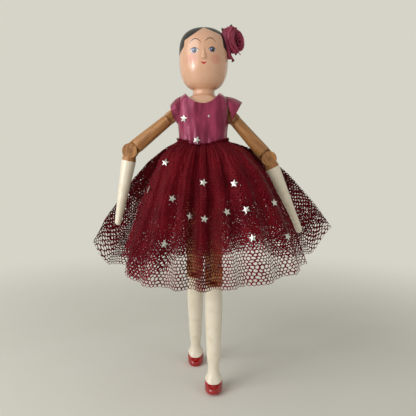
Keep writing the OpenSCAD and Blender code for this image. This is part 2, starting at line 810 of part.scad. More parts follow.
// Folded ribbon between the head and the rose, from the crown to the ear.
// Each fold shows its edge, so it is a thick disc that stands on edge.
module ribbon_folds(grow = 0) {
    ply = rose_d * 0.16;
    for (i = [0 : 2])
        translate([rose_x - rose_d * 0.36 + i * ply * 0.4, rose_y, rose_z - rose_d * 0.1])
            rotate([0, -14, rose_out * 0.5])
                translate([-rose_d * 0.34 + i * ply * 1.1, 0, 0])
                    along_x(ply + 2 * grow, ribbon_w * 1.3 - i * ply + grow);
}

module rose_ribbon() {
    color(satin)
    difference() {
        intersection() {
            ribbon_folds();
            translate([0, -head_w, 0])
                cube([head_w, 2 * head_w, head_z + crown_h]);
        }
        head_body(peg_fit);
        translate([rose_x, rose_y, rose_z]) rotate([0, 0, rose_out]) rotate([90, 0, 0])
            translate([0, 0, -rose_d * 0.09 - peg_fit])
                cylinder(h = 2 * rose_d, r = rose_d * 0.55);
    }
}

module rose_leaves() {
    leaf = rose_d * 0.34;
    color(leaf_green)
    difference() {
        for (place = [[0.82, 0.86, 20], [1.12, 0.98, -15]])
            translate([head_r * place[0], rose_d * 0.28, head_z + crown_h * place[1]])
                rotate([90, place[2], 0])
                    linear_extrude(star_t * 2, center = true)
                        polygon([[-leaf, -leaf], [leaf * 0.6, -leaf * 0.7], [leaf * 0.5, leaf * 0.3],
                            [0, leaf], [-leaf * 0.5, leaf * 0.3]]);
        head_body(peg_fit);
        ribbon_folds(star_gap);
    }
}

module peg_y(depth) { color(bare_wood) along_y(depth + 2 * peg_proud, peg_r); }
module peg_x(width) { color(bare_wood) along_x(width + 2 * peg_proud, peg_r); }

// The shoulder pegs end inside the round of the torso, under the satin.
peg_edge_x = shoulder_x + peg_r;
shoulder_peg_l = 2 * sqrt(shoulder_r * shoulder_r - peg_edge_x * peg_edge_x);

// The skirt's hem sets the part's box, so home is under the middle of the hem.
hem = [
    for (side = [-1, 1]) each concat(
        [for (i = [0 : front_edge_steps])
            let (a = side * i * step_a) net_point(a, whole(a), top_off + net_t)],
        [for (i = [back_edge_steps : 180 / step_a]) net_point(side * i * step_a, 1, top_off + net_t)]
    )
];
hem_x = [for (p = hem) p[0]];
hem_y = [for (p = hem) p[1]];
home_x = (min(hem_x) + max(hem_x)) / 2;
home_y = (min(hem_y) + max(hem_y)) / 2;
module home() { translate([-home_x, -home_y, 0]) children(); }

home() head_and_torso();
home() nose();
home() color(bare_wood) at_shoulder(-1) upper_arm_shape(upper_arm(-1));  // upper_arm_right
home() color(bare_wood) at_shoulder(1) upper_arm_shape(upper_arm(1));  // upper_arm_left
home() color(cream) at_elbow(-1) forearm_shape(forearm(-1));  // forearm_right
home() color(cream) at_elbow(1) forearm_shape(forearm(1));  // forearm_left
home() color(bare_wood) at_hip(-1) thigh_shape();  // thigh_right
home() color(bare_wood) at_hip(1) thigh_shape();  // thigh_left
home() color(cream) at_knee(-1) lower_leg_shape();  // lower_leg_right
home() color(cream) at_knee(1) lower_leg_shape();  // lower_leg_left
home() off_middle() translate([-shoulder_x, 0, shoulder_z]) color(bare_wood) along_y(shoulder_peg_l, peg_r);  // shoulder_peg_right
home() off_middle() translate([shoulder_x, 0, shoulder_z]) color(bare_wood) along_y(shoulder_peg_l, peg_r);  // shoulder_peg_left
home() at_elbow(-1) peg_y(forearm_d);  // elbow_peg_right
home() at_elbow(1) peg_y(forearm_d);  // elbow_peg_left
home() translate([0, 0, hip_z]) peg_x(hip_block_w);  // hip_peg
home() at_knee(-1) peg_x(calf_w * 0.97);  // knee_peg_right
home() at_knee(1) peg_x(calf_w * 0.97);  // knee_peg_left
home() half_bodice(true);  // bodice_front
home() half_bodice(false);  // bodice_back
home() sleeve(-1);  // sleeve_right
home() sleeve(1);  // sleeve_left
home() waist_tape();
home() front_net(-1, even_shares(corner_rows), under_off, under);  // underskirt_front_right
home() front_net(1, even_shares(under_rows), under_off, under);  // underskirt_front_left
home() back_net(-1, even_shares(under_rows), under_off, under);  // underskirt_back_right
home() back_net(1, even_shares(under_rows), under_off, under);  // underskirt_back_left
home() front_net(-1, top_shares, top_off, whole);  // skirt_front_right
home() front_net(1, top_shares, top_off, whole);  // skirt_front_left
home() back_net(-1, top_shares, top_off, whole);  // skirt_back_right
home() back_net(1, top_shares, top_off, whole);  // skirt_back_left
home() bodice_stars();
home() net_stars(right_star_shares);  // stars_front_right
home() net_stars(left_star_shares);  // stars_front_left
home() net_stars(back_star_shares);  // stars_back
home() rose_bud();
home() rose_ribbon();
home() rose_leaves();
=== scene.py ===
# %% [markdown]
# # A jointed peg doll in a satin and net dress
# The doll is a few sticks of turned wood, pinned together, painted, and dressed in a satin
# bodice and a net skirt with star sequins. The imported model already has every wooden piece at
# its real size and place, so this lesson loads it as a fixed frame and works on the looks:
# smooth paint, bare wood, cloth that is really made of threads, and a rolled ribbon rose.

# %% Load the frame
import json
import math

import bmesh
import bpy
from mathutils import Euler, Matrix, Vector, noise


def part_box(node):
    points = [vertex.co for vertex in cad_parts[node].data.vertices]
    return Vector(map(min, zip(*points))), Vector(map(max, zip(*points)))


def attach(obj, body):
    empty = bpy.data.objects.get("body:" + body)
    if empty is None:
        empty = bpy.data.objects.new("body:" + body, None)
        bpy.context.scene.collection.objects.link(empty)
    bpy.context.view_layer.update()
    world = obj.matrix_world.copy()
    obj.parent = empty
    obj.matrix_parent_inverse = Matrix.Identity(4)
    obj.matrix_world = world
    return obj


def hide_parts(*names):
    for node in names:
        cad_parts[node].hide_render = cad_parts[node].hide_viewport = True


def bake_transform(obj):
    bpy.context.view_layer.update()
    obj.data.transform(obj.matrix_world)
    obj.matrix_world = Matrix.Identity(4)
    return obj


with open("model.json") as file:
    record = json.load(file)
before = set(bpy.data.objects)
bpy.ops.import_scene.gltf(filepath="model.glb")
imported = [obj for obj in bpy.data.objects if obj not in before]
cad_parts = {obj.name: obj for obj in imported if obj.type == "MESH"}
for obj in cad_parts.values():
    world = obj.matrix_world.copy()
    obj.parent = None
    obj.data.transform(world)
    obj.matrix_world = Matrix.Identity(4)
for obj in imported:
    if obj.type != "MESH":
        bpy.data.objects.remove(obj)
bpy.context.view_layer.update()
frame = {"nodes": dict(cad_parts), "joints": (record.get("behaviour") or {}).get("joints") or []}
mm = 0.001
joint = {j["name"]: Vector(j["pos_m"]) for j in frame["joints"]}
# noise_vector, which shifts the cells of the net, would otherwise start from the clock.
cloth_seed = 1796048640
noise.seed_set(cloth_seed)

# %% [markdown]
# The doll's own axis is not in the middle of the model's box, because the skirt spreads wider
# on one side. Halfway between the hip joints is the middle of the wood, so every place below is
# given from there, in millimetres: x to the doll's left, y to its back, z up from the table. The
# torso sits half a millimetre off the hips' middle, as its shoulder joints tell.

# %% Places on the doll
waist_over_hip = 36.6
head_over_shoulder = 43.5
doll_axis = (joint["hip_right"] + joint["hip_left"]) / 2
doll_axis.z = 0
torso_x = ((joint["shoulder_right"].x + joint["shoulder_left"].x) / 2 - doll_axis.x) / mm
hip_z = joint["hip_right"].z / mm
shoulder_z = joint["shoulder_right"].z / mm
waist_z = hip_z + waist_over_hip
head_z = shoulder_z + head_over_shoulder


def place(x, y, z):
    return doll_axis + Vector((x, y, z)) * mm


print("hip", round(hip_z, 1), "waist", round(waist_z, 1), "torso", round(torso_x, 2))

# %% [markdown]
# Shapes are made in a bmesh, which is a mesh on the workbench. Then they are written into a mesh,
# and an object puts the mesh in the scene.

# %% From a bmesh to an object


def write_mesh(name, bm):
    mesh = bpy.data.meshes.new(name)
    bm.to_mesh(mesh)
    bm.free()
    return mesh


def add_object(name, data):
    made = bpy.data.objects.new(name, data)
    bpy.context.scene.collection.objects.link(made)
    return made


def weld(bm, gap):
    """Merges the points that lie within a gap, and turns every face outward."""
    bmesh.ops.remove_doubles(bm, verts=bm.verts, dist=gap * mm)
    bmesh.ops.recalc_face_normals(bm, faces=bm.faces)


# %% [markdown]
# A finish is a material made of nodes. Long chains of Math nodes are hard to read, so one small
# class wraps a socket and lets Python's own signs add the nodes: `1 - mask` is a Subtract node.

# %% A socket that can be added and multiplied


class Value:
    def __init__(self, finish, socket):
        self.finish = finish
        self.socket = socket

    def math(self, operation, *inputs):
        return self.finish.node("ShaderNodeMath", {"operation": operation}, list(inputs))

    def __add__(self, other):
        return self.math("ADD", self, other)

    def __radd__(self, other):
        return self.math("ADD", other, self)

    def __sub__(self, other):
        return self.math("SUBTRACT", self, other)

    def __rsub__(self, other):
        return self.math("SUBTRACT", other, self)

    def __mul__(self, other):
        return self.math("MULTIPLY", self, other)

    def __rmul__(self, other):
        return self.math("MULTIPLY", other, self)

    def __truediv__(self, other):
        return self.math("DIVIDE", self, other)

    def __abs__(self):
        return self.math("ABSOLUTE", self)

    def root(self):
        return self.math("SQRT", self)

    def most(self, other):
        return self.math("MAXIMUM", self, other)

    def ramp(self, low, high, start=0.0, end=1.0):
        """Eases from start to end while the value goes from low to high."""
        settings = {"interpolation_type": "SMOOTHSTEP"}
        return self.finish.node("ShaderNodeMapRange", settings, [self, low, high, start, end])

    def under(self, limit, soft):
        return self.ramp(limit - soft, limit + soft, 1.0, 0.0)

    def over(self, limit, soft):
        return self.ramp(limit - soft, limit + soft)


# %% [markdown]
# The finish itself makes nodes by type, sets their settings first and then their sockets. It
# keeps one Principled shader, whose constant values are set on its own sockets, and reads the
# object's coordinates, which stay with a piece when it moves.

# %% A finish and its nodes


def colour(code):
    """A colour written as on the web, as the linear light that a shader wants."""
    parts = [int(code[i:i + 2], 16) / 255 for i in (1, 3, 5)]
    linear = [p / 12.92 if p <= 0.04045 else ((p + 0.055) / 1.055) ** 2.4 for p in parts]
    return (*linear, 1.0)


class Finish:
    def __init__(self, name, roughness=0.5, metallic=0.0, coat=0.0, sheen=0.0):
        self.material = bpy.data.materials.new(name)
        self.material.use_nodes = True
        self.tree = self.material.node_tree
        self.shader = self.tree.nodes["Principled BSDF"]
        self.set("Roughness", roughness)
        self.set("Metallic", metallic)
        self.set("Coat Weight", coat)
        self.set("Sheen Weight", sheen)

    def set(self, name, value):
        socket = self.shader.inputs[name]
        if isinstance(value, Value):
            self.tree.links.new(value.socket, socket)
        else:
            socket.default_value = value

    def node(self, kind, settings=None, inputs=(), output=0):
        node = self.tree.nodes.new(kind)
        for name, value in (settings or {}).items():
            if name == "stops":
                for spot, shade in value[2:]:
                    node.color_ramp.elements.new(spot)
                for element, (spot, shade) in zip(node.color_ramp.elements, sorted(value)):
                    element.position, element.color = spot, shade
            else:
                setattr(node, name, value)
        pairs = inputs.items() if isinstance(inputs, dict) else enumerate(inputs)
        for key, value in pairs:
            if isinstance(value, Value):
                self.tree.links.new(value.socket, node.inputs[key])
            elif value is not None:
                node.inputs[key].default_value = value
        return Value(self, node.outputs[output])

    def mapped(self, vector, turn=(0, 0, 0), stretch=(1, 1, 1)):
        inputs = {"Vector": vector, "Rotation": turn, "Scale": stretch}
        return self.node("ShaderNodeMapping", {"vector_type": "POINT"}, inputs)

    def measured_from(self, start, turn=(0, 0, 0), stretch=(1, 1, 1)):
        """Millimetres from a start, turned and then stretched."""
        spot = self.node("ShaderNodeTexCoord", output="Object")
        subtract = {"operation": "SUBTRACT"}
        moved = self.node("ShaderNodeVectorMath", subtract, [spot, tuple(start)])
        return self.mapped(moved, turn, tuple(s / mm for s in stretch))

    def here(self, turn=(0, 0, 0), stretch=(1, 1, 1)):
        """Place on the doll in millimetres, turned about the doll's axis, then stretched."""
        return self.measured_from(doll_axis, turn, stretch)

    def split(self, vector):
        return [self.node("ShaderNodeSeparateXYZ", inputs=[vector], output=i) for i in range(3)]

    def mix(self, factor, first, second):
        inputs = {0: factor, 6: first, 7: second}
        return self.node("ShaderNodeMix", {"data_type": "RGBA"}, inputs, 2)

    def noise(self, vector, scale, detail=3.0, roughness=0.5):
        inputs = {"Vector": vector, "Scale": scale, "Detail": detail, "Roughness": roughness}
        return self.node("ShaderNodeTexNoise", inputs=inputs, output="Fac")

    def bump(self, height, strength, distance):
        inputs = {"Height": height, "Strength": strength, "Distance": distance}
        self.set("Normal", self.node("ShaderNodeBump", inputs=inputs))


# %% [markdown]
# The stage is plain: a pale floor that fades into a pale wall colour with distance, so there is
# no line where it ends, and it keeps the doll's shadow. Camera rays and mirror rays see the pale
# wall, and all other rays get an even, weaker light from it.

# %% World
wall_colour = colour("#d6d4c8")
soft_light = 0.36
world = bpy.data.worlds.new("studio")
bpy.context.scene.world = world
world.use_nodes = True
sky = world.node_tree
lighting = sky.nodes["Background"]
lighting.inputs["Color"].default_value = colour("#f6f3ec")
lighting.inputs["Strength"].default_value = soft_light
wall = sky.nodes.new("ShaderNodeBackground")
wall.inputs["Color"].default_value = wall_colour
path = sky.nodes.new("ShaderNodeLightPath")
looks = path.outputs["Is Camera Ray"]
for ray in ("Is Glossy Ray", "Is Transmission Ray"):
    either = sky.nodes.new("ShaderNodeMath")
    either.operation = "MAXIMUM"
    sky.links.new(looks, either.inputs[0])
    sky.links.new(path.outputs[ray], either.inputs[1])
    looks = either.outputs[0]
choice = sky.nodes.new("ShaderNodeMixShader")
sky.links.new(looks, choice.inputs[0])
sky.links.new(lighting.outputs[0], choice.inputs[1])
sky.links.new(wall.outputs[0], choice.inputs[2])
sky.links.new(choice.outputs[0], sky.nodes["World Output"].inputs["Surface"])

# %% Floor
floor_bm = bmesh.new()
bmesh.ops.create_grid(floor_bm, x_segments=1, y_segments=1, size=2.0)
floor_mesh = write_mesh("floor", floor_bm)
floor = add_object("floor", floor_mesh)
floor_finish = Finish("pale_floor", roughness=0.75)
x, y, _ = floor_finish.split(floor_finish.here())
mottle = floor_finish.noise(floor_finish.here(), 0.01, 3.0)
floor_finish.set("Base Color", floor_finish.mix(mottle, colour("#eceade"), colour("#f3f1e8")))
fade_from, fade_to = 150, 620
fade = (x * x + y * y).root().ramp(fade_from, fade_to)
seen = floor_finish.node("ShaderNodeLightPath", output="Is Camera Ray")
glow = floor_finish.node("ShaderNodeEmission", inputs={"Color": wall_colour, "Strength": 1.0})
plain = Value(floor_finish, floor_finish.shader.outputs["BSDF"])
faded = floor_finish.node("ShaderNodeMixShader", inputs=[fade * seen, plain, glow])
floor_finish.tree.links.new(
    faded.socket, floor_finish.tree.nodes["Material Output"].inputs["Surface"]
)
floor_mesh.materials.append(floor_finish.material)
print("floor", round(floor.dimensions.x, 1), "m wide")

# %% [markdown]
# One soft window lights the doll from its right front, which leaves a bright streak on the
# painted cheek and a lighter band down the satin. A weak lamp on the other side keeps the dark
# side open, and it doesn't show in the gloss.

# %% Lamps


def soft_lamp(name, spot, aim, size, power, glossy=True):
    light = bpy.data.lights.new(name, "AREA")
    light.shape = "DISK"
    light.size = size
    light.energy = power
    lamp = add_object(name, light)
    lamp.location = spot
    lamp.rotation_euler = (aim - spot).to_track_quat("-Z", "Y").to_euler()
    lamp.visible_glossy = glossy
    print(name, power, "W")


chest = place(0, 0, shoulder_z - 40)
soft_lamp("window", place(-600, -470, 430), chest, 0.8, 4.2)
soft_lamp("pane", place(-600, -480, 250), place(0, 0, head_z), 0.2, 0.8)
soft_lamp("fill", place(620, -500, 300), chest, 0.6, 0.9, glossy=False)

# %% [markdown]
# The photograph was taken from close by: the back shoe stands clearly higher in the picture
# than the front one. A focal length of 460 pixels in a 416 pixel picture, the camera 396 mm in
# front of the doll and tilted 6 degrees down give the same picture of the wooden pieces.

# %% Camera
picture_px = 416
focal_px = 460
sensor = 36.0
tilt_down = 6
camera_data = bpy.data.cameras.new("camera")
camera_data.sensor_width = sensor
camera_data.lens = sensor * focal_px / picture_px
camera_data.clip_start = 0.01
camera = add_object("camera", camera_data)
camera.location = place(3.6, -396, 195.5)
camera.rotation_euler = Euler((math.radians(90 - tilt_down), 0, 0))
bpy.context.scene.camera = camera
bpy.context.scene.view_settings.view_transform = "Standard"
print("lens", round(camera_data.lens, 1))

# %% [markdown]
# Every new piece ends the same way: its mesh goes into an object at the origin, shaded smooth
# but for its real corners, and, when a body is given, it rides on that body of the frame.

# %% Finish a piece
corner_angle = math.radians(38)


def finish_piece(name, bm, finishes, body=None, replaced=(), corner=corner_angle):
    mesh = write_mesh(name, bm)
    mesh.shade_smooth()
    mesh.set_sharp_from_angle(angle=corner)
    for finish in finishes:
        mesh.materials.append(finish.material)
    piece = add_object(name, mesh)
    if replaced:
        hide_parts(*replaced)
    if body:
        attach(piece, body)
    print(name, len(mesh.polygons), "faces")
    return piece


def with_modifier(piece, kind, **settings):
    modifier = piece.modifiers.new(kind.lower(), kind)
    for name, value in settings.items():
        setattr(modifier, name, value)


def thicken(piece, thickness):
    with_modifier(piece, "SOLIDIFY", thickness=thickness * mm, offset=0.0)


def spin_outline(bm, outline, steps=96):
    """Turns an outline of (radius, height) pairs once round the vertical axis."""
    ring = [bm.verts.new((r * mm, 0, z * mm)) for r, z in outline]
    edges = [bm.edges.new(pair) for pair in zip(ring, ring[1:])]
    bmesh.ops.spin(
        bm, geom=ring + edges, cent=(0, 0, 0), axis=(0, 0, 1), angle=math.tau,
        steps=steps, use_merge=True,
    )
    weld(bm, 0.002)


def cad_piece(node, cut, away):
    """A merged copy of a CAD node's mesh, cut off past a plane and closed there."""
    bm = bmesh.new()
    bm.from_mesh(frame["nodes"][node].data)
    bmesh.ops.remove_doubles(bm, verts=bm.verts, dist=0.001 * mm)
    everything = bm.verts[:] + bm.edges[:] + bm.faces[:]
    found = bmesh.ops.bisect_plane(
        bm, geom=everything, plane_co=cut, plane_no=away, clear_outer=True
    )
    rim = [e for e in found["geom_cut"] if isinstance(e, bmesh.types.BMEdge)]
    bmesh.ops.holes_fill(bm, edges=rim, sides=0)
    return bm


def smooth_run(spots, share):
    """The point at a share of the way along a smooth curve through a few spots."""
    last = len(spots) - 1
    i = min(int(share * last), last - 1)
    t = share * last - i
    before, a, b, after = spots[max(i - 1, 0)], spots[i], spots[i + 1], spots[min(i + 2, last)]
    return [
        0.5 * (2 * q + (r - p) * t + (2 * p - 5 * q + 4 * r - s) * t ** 2
               + (3 * q - p - 3 * r + s) * t ** 3)
        for p, q, r, s in zip(before, a, b, after)
    ]


# %% [markdown]
# Bare turned wood is honey brown, with fine dark lines that run along the stick and a faint
# lighter band here and there. The lines are noise that is stretched along the limb. Below the
# joint the stick is dipped in cream paint, which fills the grain and has a crisp edge. One
# finish does both, because on the doll both are on one piece of wood.

# %% Wood and paint
bare_light = colour("#bd854b")
bare_dark = colour("#7e4e28")
cream_light = colour("#eae0cb")
cream_worn = colour("#d8cbaf")


def limb_finish(name, start, end, paint_from=None):
    """Wood with its grain along a limb from start to end, painted past paint_from millimetres."""
    finish = Finish(name, roughness=0.42, coat=0.2)
    finish.set("Coat Roughness", 0.25)
    along = (end - start).normalized()
    turn = along.rotation_difference(Vector((0, 0, 1))).to_euler()
    straight = finish.measured_from(start, tuple(turn))
    z = finish.split(straight)[2]
    stretched = finish.mapped(straight, stretch=(1, 1, 0.055))
    lines = finish.noise(stretched, 1.15, 5.0, 0.65)
    bands = finish.noise(stretched, 0.28, 2.0)
    shade = lines.ramp(0.3, 0.72) * 0.7 + bands.ramp(0.35, 0.65) * 0.3
    wood = finish.mix(shade, bare_dark, bare_light)
    grain = lines.ramp(0.25, 0.6)
    if paint_from is None:
        finish.set("Base Color", wood)
        finish.bump(grain, 0.25, 0.00025)
        return finish
    wobble = finish.noise(straight, 0.35, 2.0)
    painted = (z + wobble * 1.2).over(paint_from + 0.6, 0.18)
    wear = finish.noise(straight, 0.11, 4.0).ramp(0.45, 0.75)
    cream = finish.mix(wear * 0.6, cream_light, cream_worn)
    finish.set("Base Color", finish.mix(painted, wood, cream))
    finish.set("Roughness", painted.ramp(0, 1, 0.45, 0.28))
    finish.bump(grain * (1 - painted) + painted * 1.4, 0.3, 0.00022)
    return finish


def paint_node(node, finish):
    mesh = frame["nodes"][node].data
    mesh.materials.clear()
    mesh.materials.append(finish.material)


# %% Arms and thighs
sides = {"right": -1, "left": 1}
bare_knuckle, bare_knee = 8.6, 8.4
arm_root_r, arm_root_in, arm_root_out = 5.0, 16.6, 21.0


def add_arm_root(bm, shoulder, along):
    """The arm stays round a little further up its tongue, to an arc about the shoulder pin."""
    middle = shoulder + along * (arm_root_in + arm_root_out) / 2 * mm
    made = bmesh.ops.create_cone(
        bm, cap_ends=True, segments=48, radius1=arm_root_r * mm, radius2=arm_root_r * mm,
        depth=(arm_root_out - arm_root_in) * mm,
        matrix=Matrix.Translation(middle)
        @ Vector((0, 0, 1)).rotation_difference(along).to_matrix().to_4x4(),
    )["verts"]
    aside = along.cross(Vector((0, 1, 0)))
    for vert in made:
        if (vert.co - middle).dot(along) < 0:
            off = (vert.co - middle).dot(aside) / mm
            vert.co += along * (math.sqrt(arm_root_in ** 2 - off ** 2) - arm_root_in) * mm


for side in sides:
    shoulder, elbow = joint[f"shoulder_{side}"], joint[f"elbow_{side}"]
    low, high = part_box(f"forearm_{side}")
    tip = Vector((low.x if side == "right" else high.x, elbow.y, low.z))
    arm_bm = bmesh.new()
    arm_bm.from_mesh(frame["nodes"][f"upper_arm_{side}"].data)
    bmesh.ops.remove_doubles(arm_bm, verts=arm_bm.verts, dist=0.001 * mm)
    add_arm_root(arm_bm, shoulder, (elbow - shoulder).normalized())
    arm_wood = limb_finish(f"bare_arm_{side}", shoulder, elbow)
    part = f"upper_arm_{side}"
    finish_piece(f"whittled_arm_{side}", arm_bm, [arm_wood], part, [part])
    paint_node(f"forearm_{side}", limb_finish(f"cream_arm_{side}", elbow, tip, bare_knuckle))
    hip, knee = joint[f"hip_{side}"], joint[f"knee_{side}"]
    paint_node(f"thigh_{side}", limb_finish(f"bare_thigh_{side}", hip, knee))
    print(side, "arm", round((elbow - shoulder).length / mm, 1), "mm")

# %% [markdown]
# The pins are cut from a paler dowel. Their ends show as small round dots on the knuckles, with
# end grain: specks instead of lines.

# %% Pins
pin_finish = Finish("dowel", roughness=0.6)
speckle = pin_finish.noise(pin_finish.here(), 2.2, 3.0).ramp(0.35, 0.7)
pin_finish.set("Base Color", pin_finish.mix(speckle, colour("#6b4322"), colour("#a9753f")))
pin_finish.bump(speckle, 0.2, 0.0002)
pins = [node for node in frame["nodes"] if "peg" in node]
for node in pins:
    paint_node(node, pin_finish)
print("pins", len(pins))

# %% [markdown]
# The head, neck and body are one turned stick. The egg of the head has to be perfectly smooth,
# because its gloss shows every facet, so it is spun afresh from an outline: a superellipse,
# which is a little squarer than an ellipse. Below the neck a copy of the CAD body carries on.

# %% Outline of the head and neck
head_r = 20.4
crown_h = 20.6
chin_h = 30.4
crown_power, jaw_power = 2.65, 2.95
neck_r = 9.7


def egg_radius(share):
    power = crown_power if share > 0 else jaw_power
    return head_r * (1 - abs(share) ** power) ** (1 / power)


def head_radius(z):
    """Radius of the head at a height over its widest ring."""
    return egg_radius(z / crown_h if z > 0 else z / chin_h)


def egg_outline(steps=40):
    neck_share = (1 - (neck_r / head_r) ** jaw_power) ** (1 / jaw_power)
    crown = [(0.0, head_z + crown_h)]
    for i in range(1, steps + 1):
        share = math.sin(math.pi / 2 * (1 - i / steps))
        crown.append((egg_radius(share), head_z + crown_h * share))
    jaw = [(egg_radius(-neck_share * i / steps), head_z - chin_h * neck_share * i / steps)
           for i in range(1, steps + 1)]
    return crown + jaw


# Radius, and height over the shoulder joints. The last two close the outline inside the body.
neck_run = [
    (9.35, 14.1), (9.2, 12.6), (9.3, 11.2), (9.8, 10.0), (10.9, 9.1), (12.4, 8.5),
    (13.6, 7.8), (14.4, 6.6), (14.4, 0.0), (0.0, 0.0),
]
outline = egg_outline()
throat_z = outline[-1][1]
outline += [(r, shoulder_z + rise) for r, rise in neck_run]
neck_foot_z = shoulder_z + neck_r * 0.95
print("throat", round(throat_z - shoulder_z, 1), "mm over the shoulders")

# %% [markdown]
# The face is painted by hand: arched brows, almond eyes with blue irises, round pink cheeks and
# a small smiling mouth, under black hair with a centre parting. Each mark is a small formula of
# the place on the head, x across and z up from the widest ring, in millimetres, so it stays
# sharp at any size. A mark is 1 inside and 0 outside.

# %% Paint the head
face_turn = -0.4
ink = colour("#140e0d")
blue = colour("#5a78b4")
lash = colour("#2c1a14")


def head_finish():
    finish = Finish("painted_head", roughness=0.2)
    finish.set("Coat Roughness", 0.1)
    spot = finish.here(turn=(0, 0, math.radians(face_turn)))
    x, y, height = finish.split(spot)
    z = height - head_z
    front = y.under(-2.0, 1.0)

    def oval(cx, cz, rx, rz, soft=0.12):
        sx, sz = (x - cx) / rx, (z - cz) / rz
        return (sx * sx + sz * sz).root().under(1.0, soft) * front

    def stroke(cx, cz, half, rise, thick, taper=0.0, soft=0.16):
        t = (x - cx) / half
        width = thick * (1 - taper * (t * t))
        off_line = abs(z - (cz + rise * (1 - t * t))) - width
        return off_line.under(0.0, soft) * abs(t).under(1.0, 0.06) * front

    def painted_eye(paint, cx, cz, half, up, down):
        t = (x - cx) / half
        arch = 1 - t * t
        opening = (z - (cz + up * arch)).under(0.0, 0.15)
        opening = opening * (z - (cz - down * arch)).over(0.0, 0.15)
        opening = opening * abs(t).under(1.0, 0.05) * front
        paint = finish.mix(opening, paint, colour("#ded6d0"))
        paint = finish.mix(oval(cx - 0.15, cz + 0.2, 2.05, 2.1) * opening, paint, blue)
        paint = finish.mix(oval(cx + 0.3, cz - 0.2, 1.6, 1.65, 0.4) * opening, paint, ink)
        # A pale spot at the upper left of each eye is a painted highlight.
        paint = finish.mix(oval(cx - 0.75, cz + 0.6, 0.45, 0.4), paint, colour("#c9d3ea"))
        lower = stroke(cx, cz - 0.1, half, -down, 0.14, taper=0.3)
        paint = finish.mix(lower * 0.9, paint, colour("#54322a"))
        return finish.mix(stroke(cx, cz + 0.1, half + 0.25, up, 0.42, taper=0.3), paint, lash)

    blush = finish.noise(spot, 0.06, 3.0).ramp(0.4, 0.7)
    paint = finish.mix(blush * 0.5, colour("#dbab8c"), colour("#d1a080"))
    for cx, cz, r in ((-8.9, -7.0, 4.2), (9.7, -7.3, 4.0)):
        paint = finish.mix(oval(cx, cz, r, r * 0.92, 0.5) * 0.42, paint, colour("#cb6a5c"))
    for cx, cz, half in ((-7.5, -0.95, 3.4), (7.0, -0.35, 2.9)):
        paint = painted_eye(paint, cx, cz, half, half * 0.6, half * 0.6)
    for cx, cz, half, rise in ((-6.95, 4.9, 4.9, 3.3), (5.3, 5.7, 4.45, 3.0)):
        paint = finish.mix(stroke(cx, cz, half, rise, 0.4, taper=0.55), paint, lash)
    paint = finish.mix(stroke(0.0, -9.9, 2.1, -1.0, 0.78, taper=0.6), paint, colour("#b90f16"))

    # Hair is above a tilted line from the parting, or behind an angle that opens at the cheeks.
    side_angle = finish.node("ShaderNodeMath", {"operation": "ARCTAN2"}, [x, 0 - y])
    angle = abs(side_angle) * (180 / math.pi)
    wave = finish.noise(spot, 0.5, 2.0)
    line = z * 0.976 - y * 0.216 + abs(x) * 0.53 - x * 0.12
    crown = (line + wave * 0.4).over(crown_h + 0.3, 0.25)
    temple = (angle - z.ramp(-4.5, 4.5, 83.0, 51.0) + wave).over(0.5, 0.8)
    nape = (z + wave * 0.5).over(-19.5, 0.4)
    hair = crown.most(temple) * nape
    strands = finish.noise(finish.here(stretch=(1.4, 1.4, 0.12)), 1.0, 3.0).ramp(0.35, 0.7)
    black = finish.mix(strands, colour("#0a0808"), colour("#171212"))
    finish.set("Base Color", finish.mix(hair, paint, black))
    finish.set("Roughness", hair.ramp(0, 1, 0.24, 0.42))
    finish.set("Coat Weight", hair.ramp(0, 1, 0.5, 0.1))
    orange_peel = finish.noise(spot, 0.22, 2.0)
    finish.bump(hair * 0.6 + orange_peel * 0.8, 0.12, 0.0005)
    return finish


head_paint = head_finish()
print("head paint", len(head_paint.tree.nodes), "nodes")

# %% [markdown]
# The spun head is joined to the cut copy of the body in one mesh, as on the doll. The head is
# moved to the doll's axis in its mesh, and its object stays at the origin. The paint stops under
# the neckline, and the rest of the body is bare wood.

# %% Head, neck and body
planed_y = 12.85
painted_to = 9.0
body_bm = cad_piece("head_and_torso", place(0, 0, neck_foot_z), (0, 0, 1))
head_bm = bmesh.new()
spin_outline(head_bm, outline, steps=128)
for vert in head_bm.verts:
    if vert.co.z < throat_z * mm:
        vert.co.y = max(-planed_y * mm, min(planed_y * mm, vert.co.y))
bmesh.ops.translate(head_bm, verts=head_bm.verts, vec=doll_axis)
head_mesh = write_mesh("head_only", head_bm)
body_wood = limb_finish("bare_body", place(0, 0, shoulder_z), place(0, 0, hip_z))
paint_line = place(0, 0, shoulder_z - painted_to).z
for face in body_bm.faces:
    face.material_index = 1 if face.calc_center_median().z < paint_line else 0
body_bm.from_mesh(head_mesh)
finish_piece(
    "turned_head_and_body", body_bm, [head_paint, body_wood], "torso",
    ["head_and_torso"],
)

# %% [markdown]
# The nose is a small wedge under thick paint: narrow at the brow and proud at its foot. A sphere
# is pulled into that shape, because it stays closed and soft: its front half stands out of the
# face, and its back half is sunk in the head.

# %% Nose
nose_top, nose_foot = 1.4, -7.6
nose_bm = bmesh.new()
bmesh.ops.create_uvsphere(nose_bm, u_segments=32, v_segments=24, radius=1.0)
turned = Matrix.Rotation(math.radians(-face_turn), 3, "Z")
for vert in nose_bm.verts:
    down = (1 - vert.co.z) / 2
    ring = math.hypot(vert.co.x, vert.co.y)
    across, out = (vert.co.x / ring, -vert.co.y / ring) if ring > 1e-6 else (0.0, 0.0)
    fullness = (1 - abs(vert.co.z) ** 5) ** 0.4
    z = nose_top + (nose_foot - nose_top) * down
    x = across * (0.7 + 1.9 * down ** 1.6) * fullness
    proud = (0.25 + 2.1 * down ** 1.5) * fullness * max(out, 0.0) ** 0.75 + 1.2 * min(out, 0.0)
    spot = turned @ Vector((x, -head_radius(z) - proud, head_z + z))
    vert.co = place(spot.x, spot.y, spot.z)
bmesh.ops.recalc_face_normals(nose_bm, faces=nose_bm.faces)
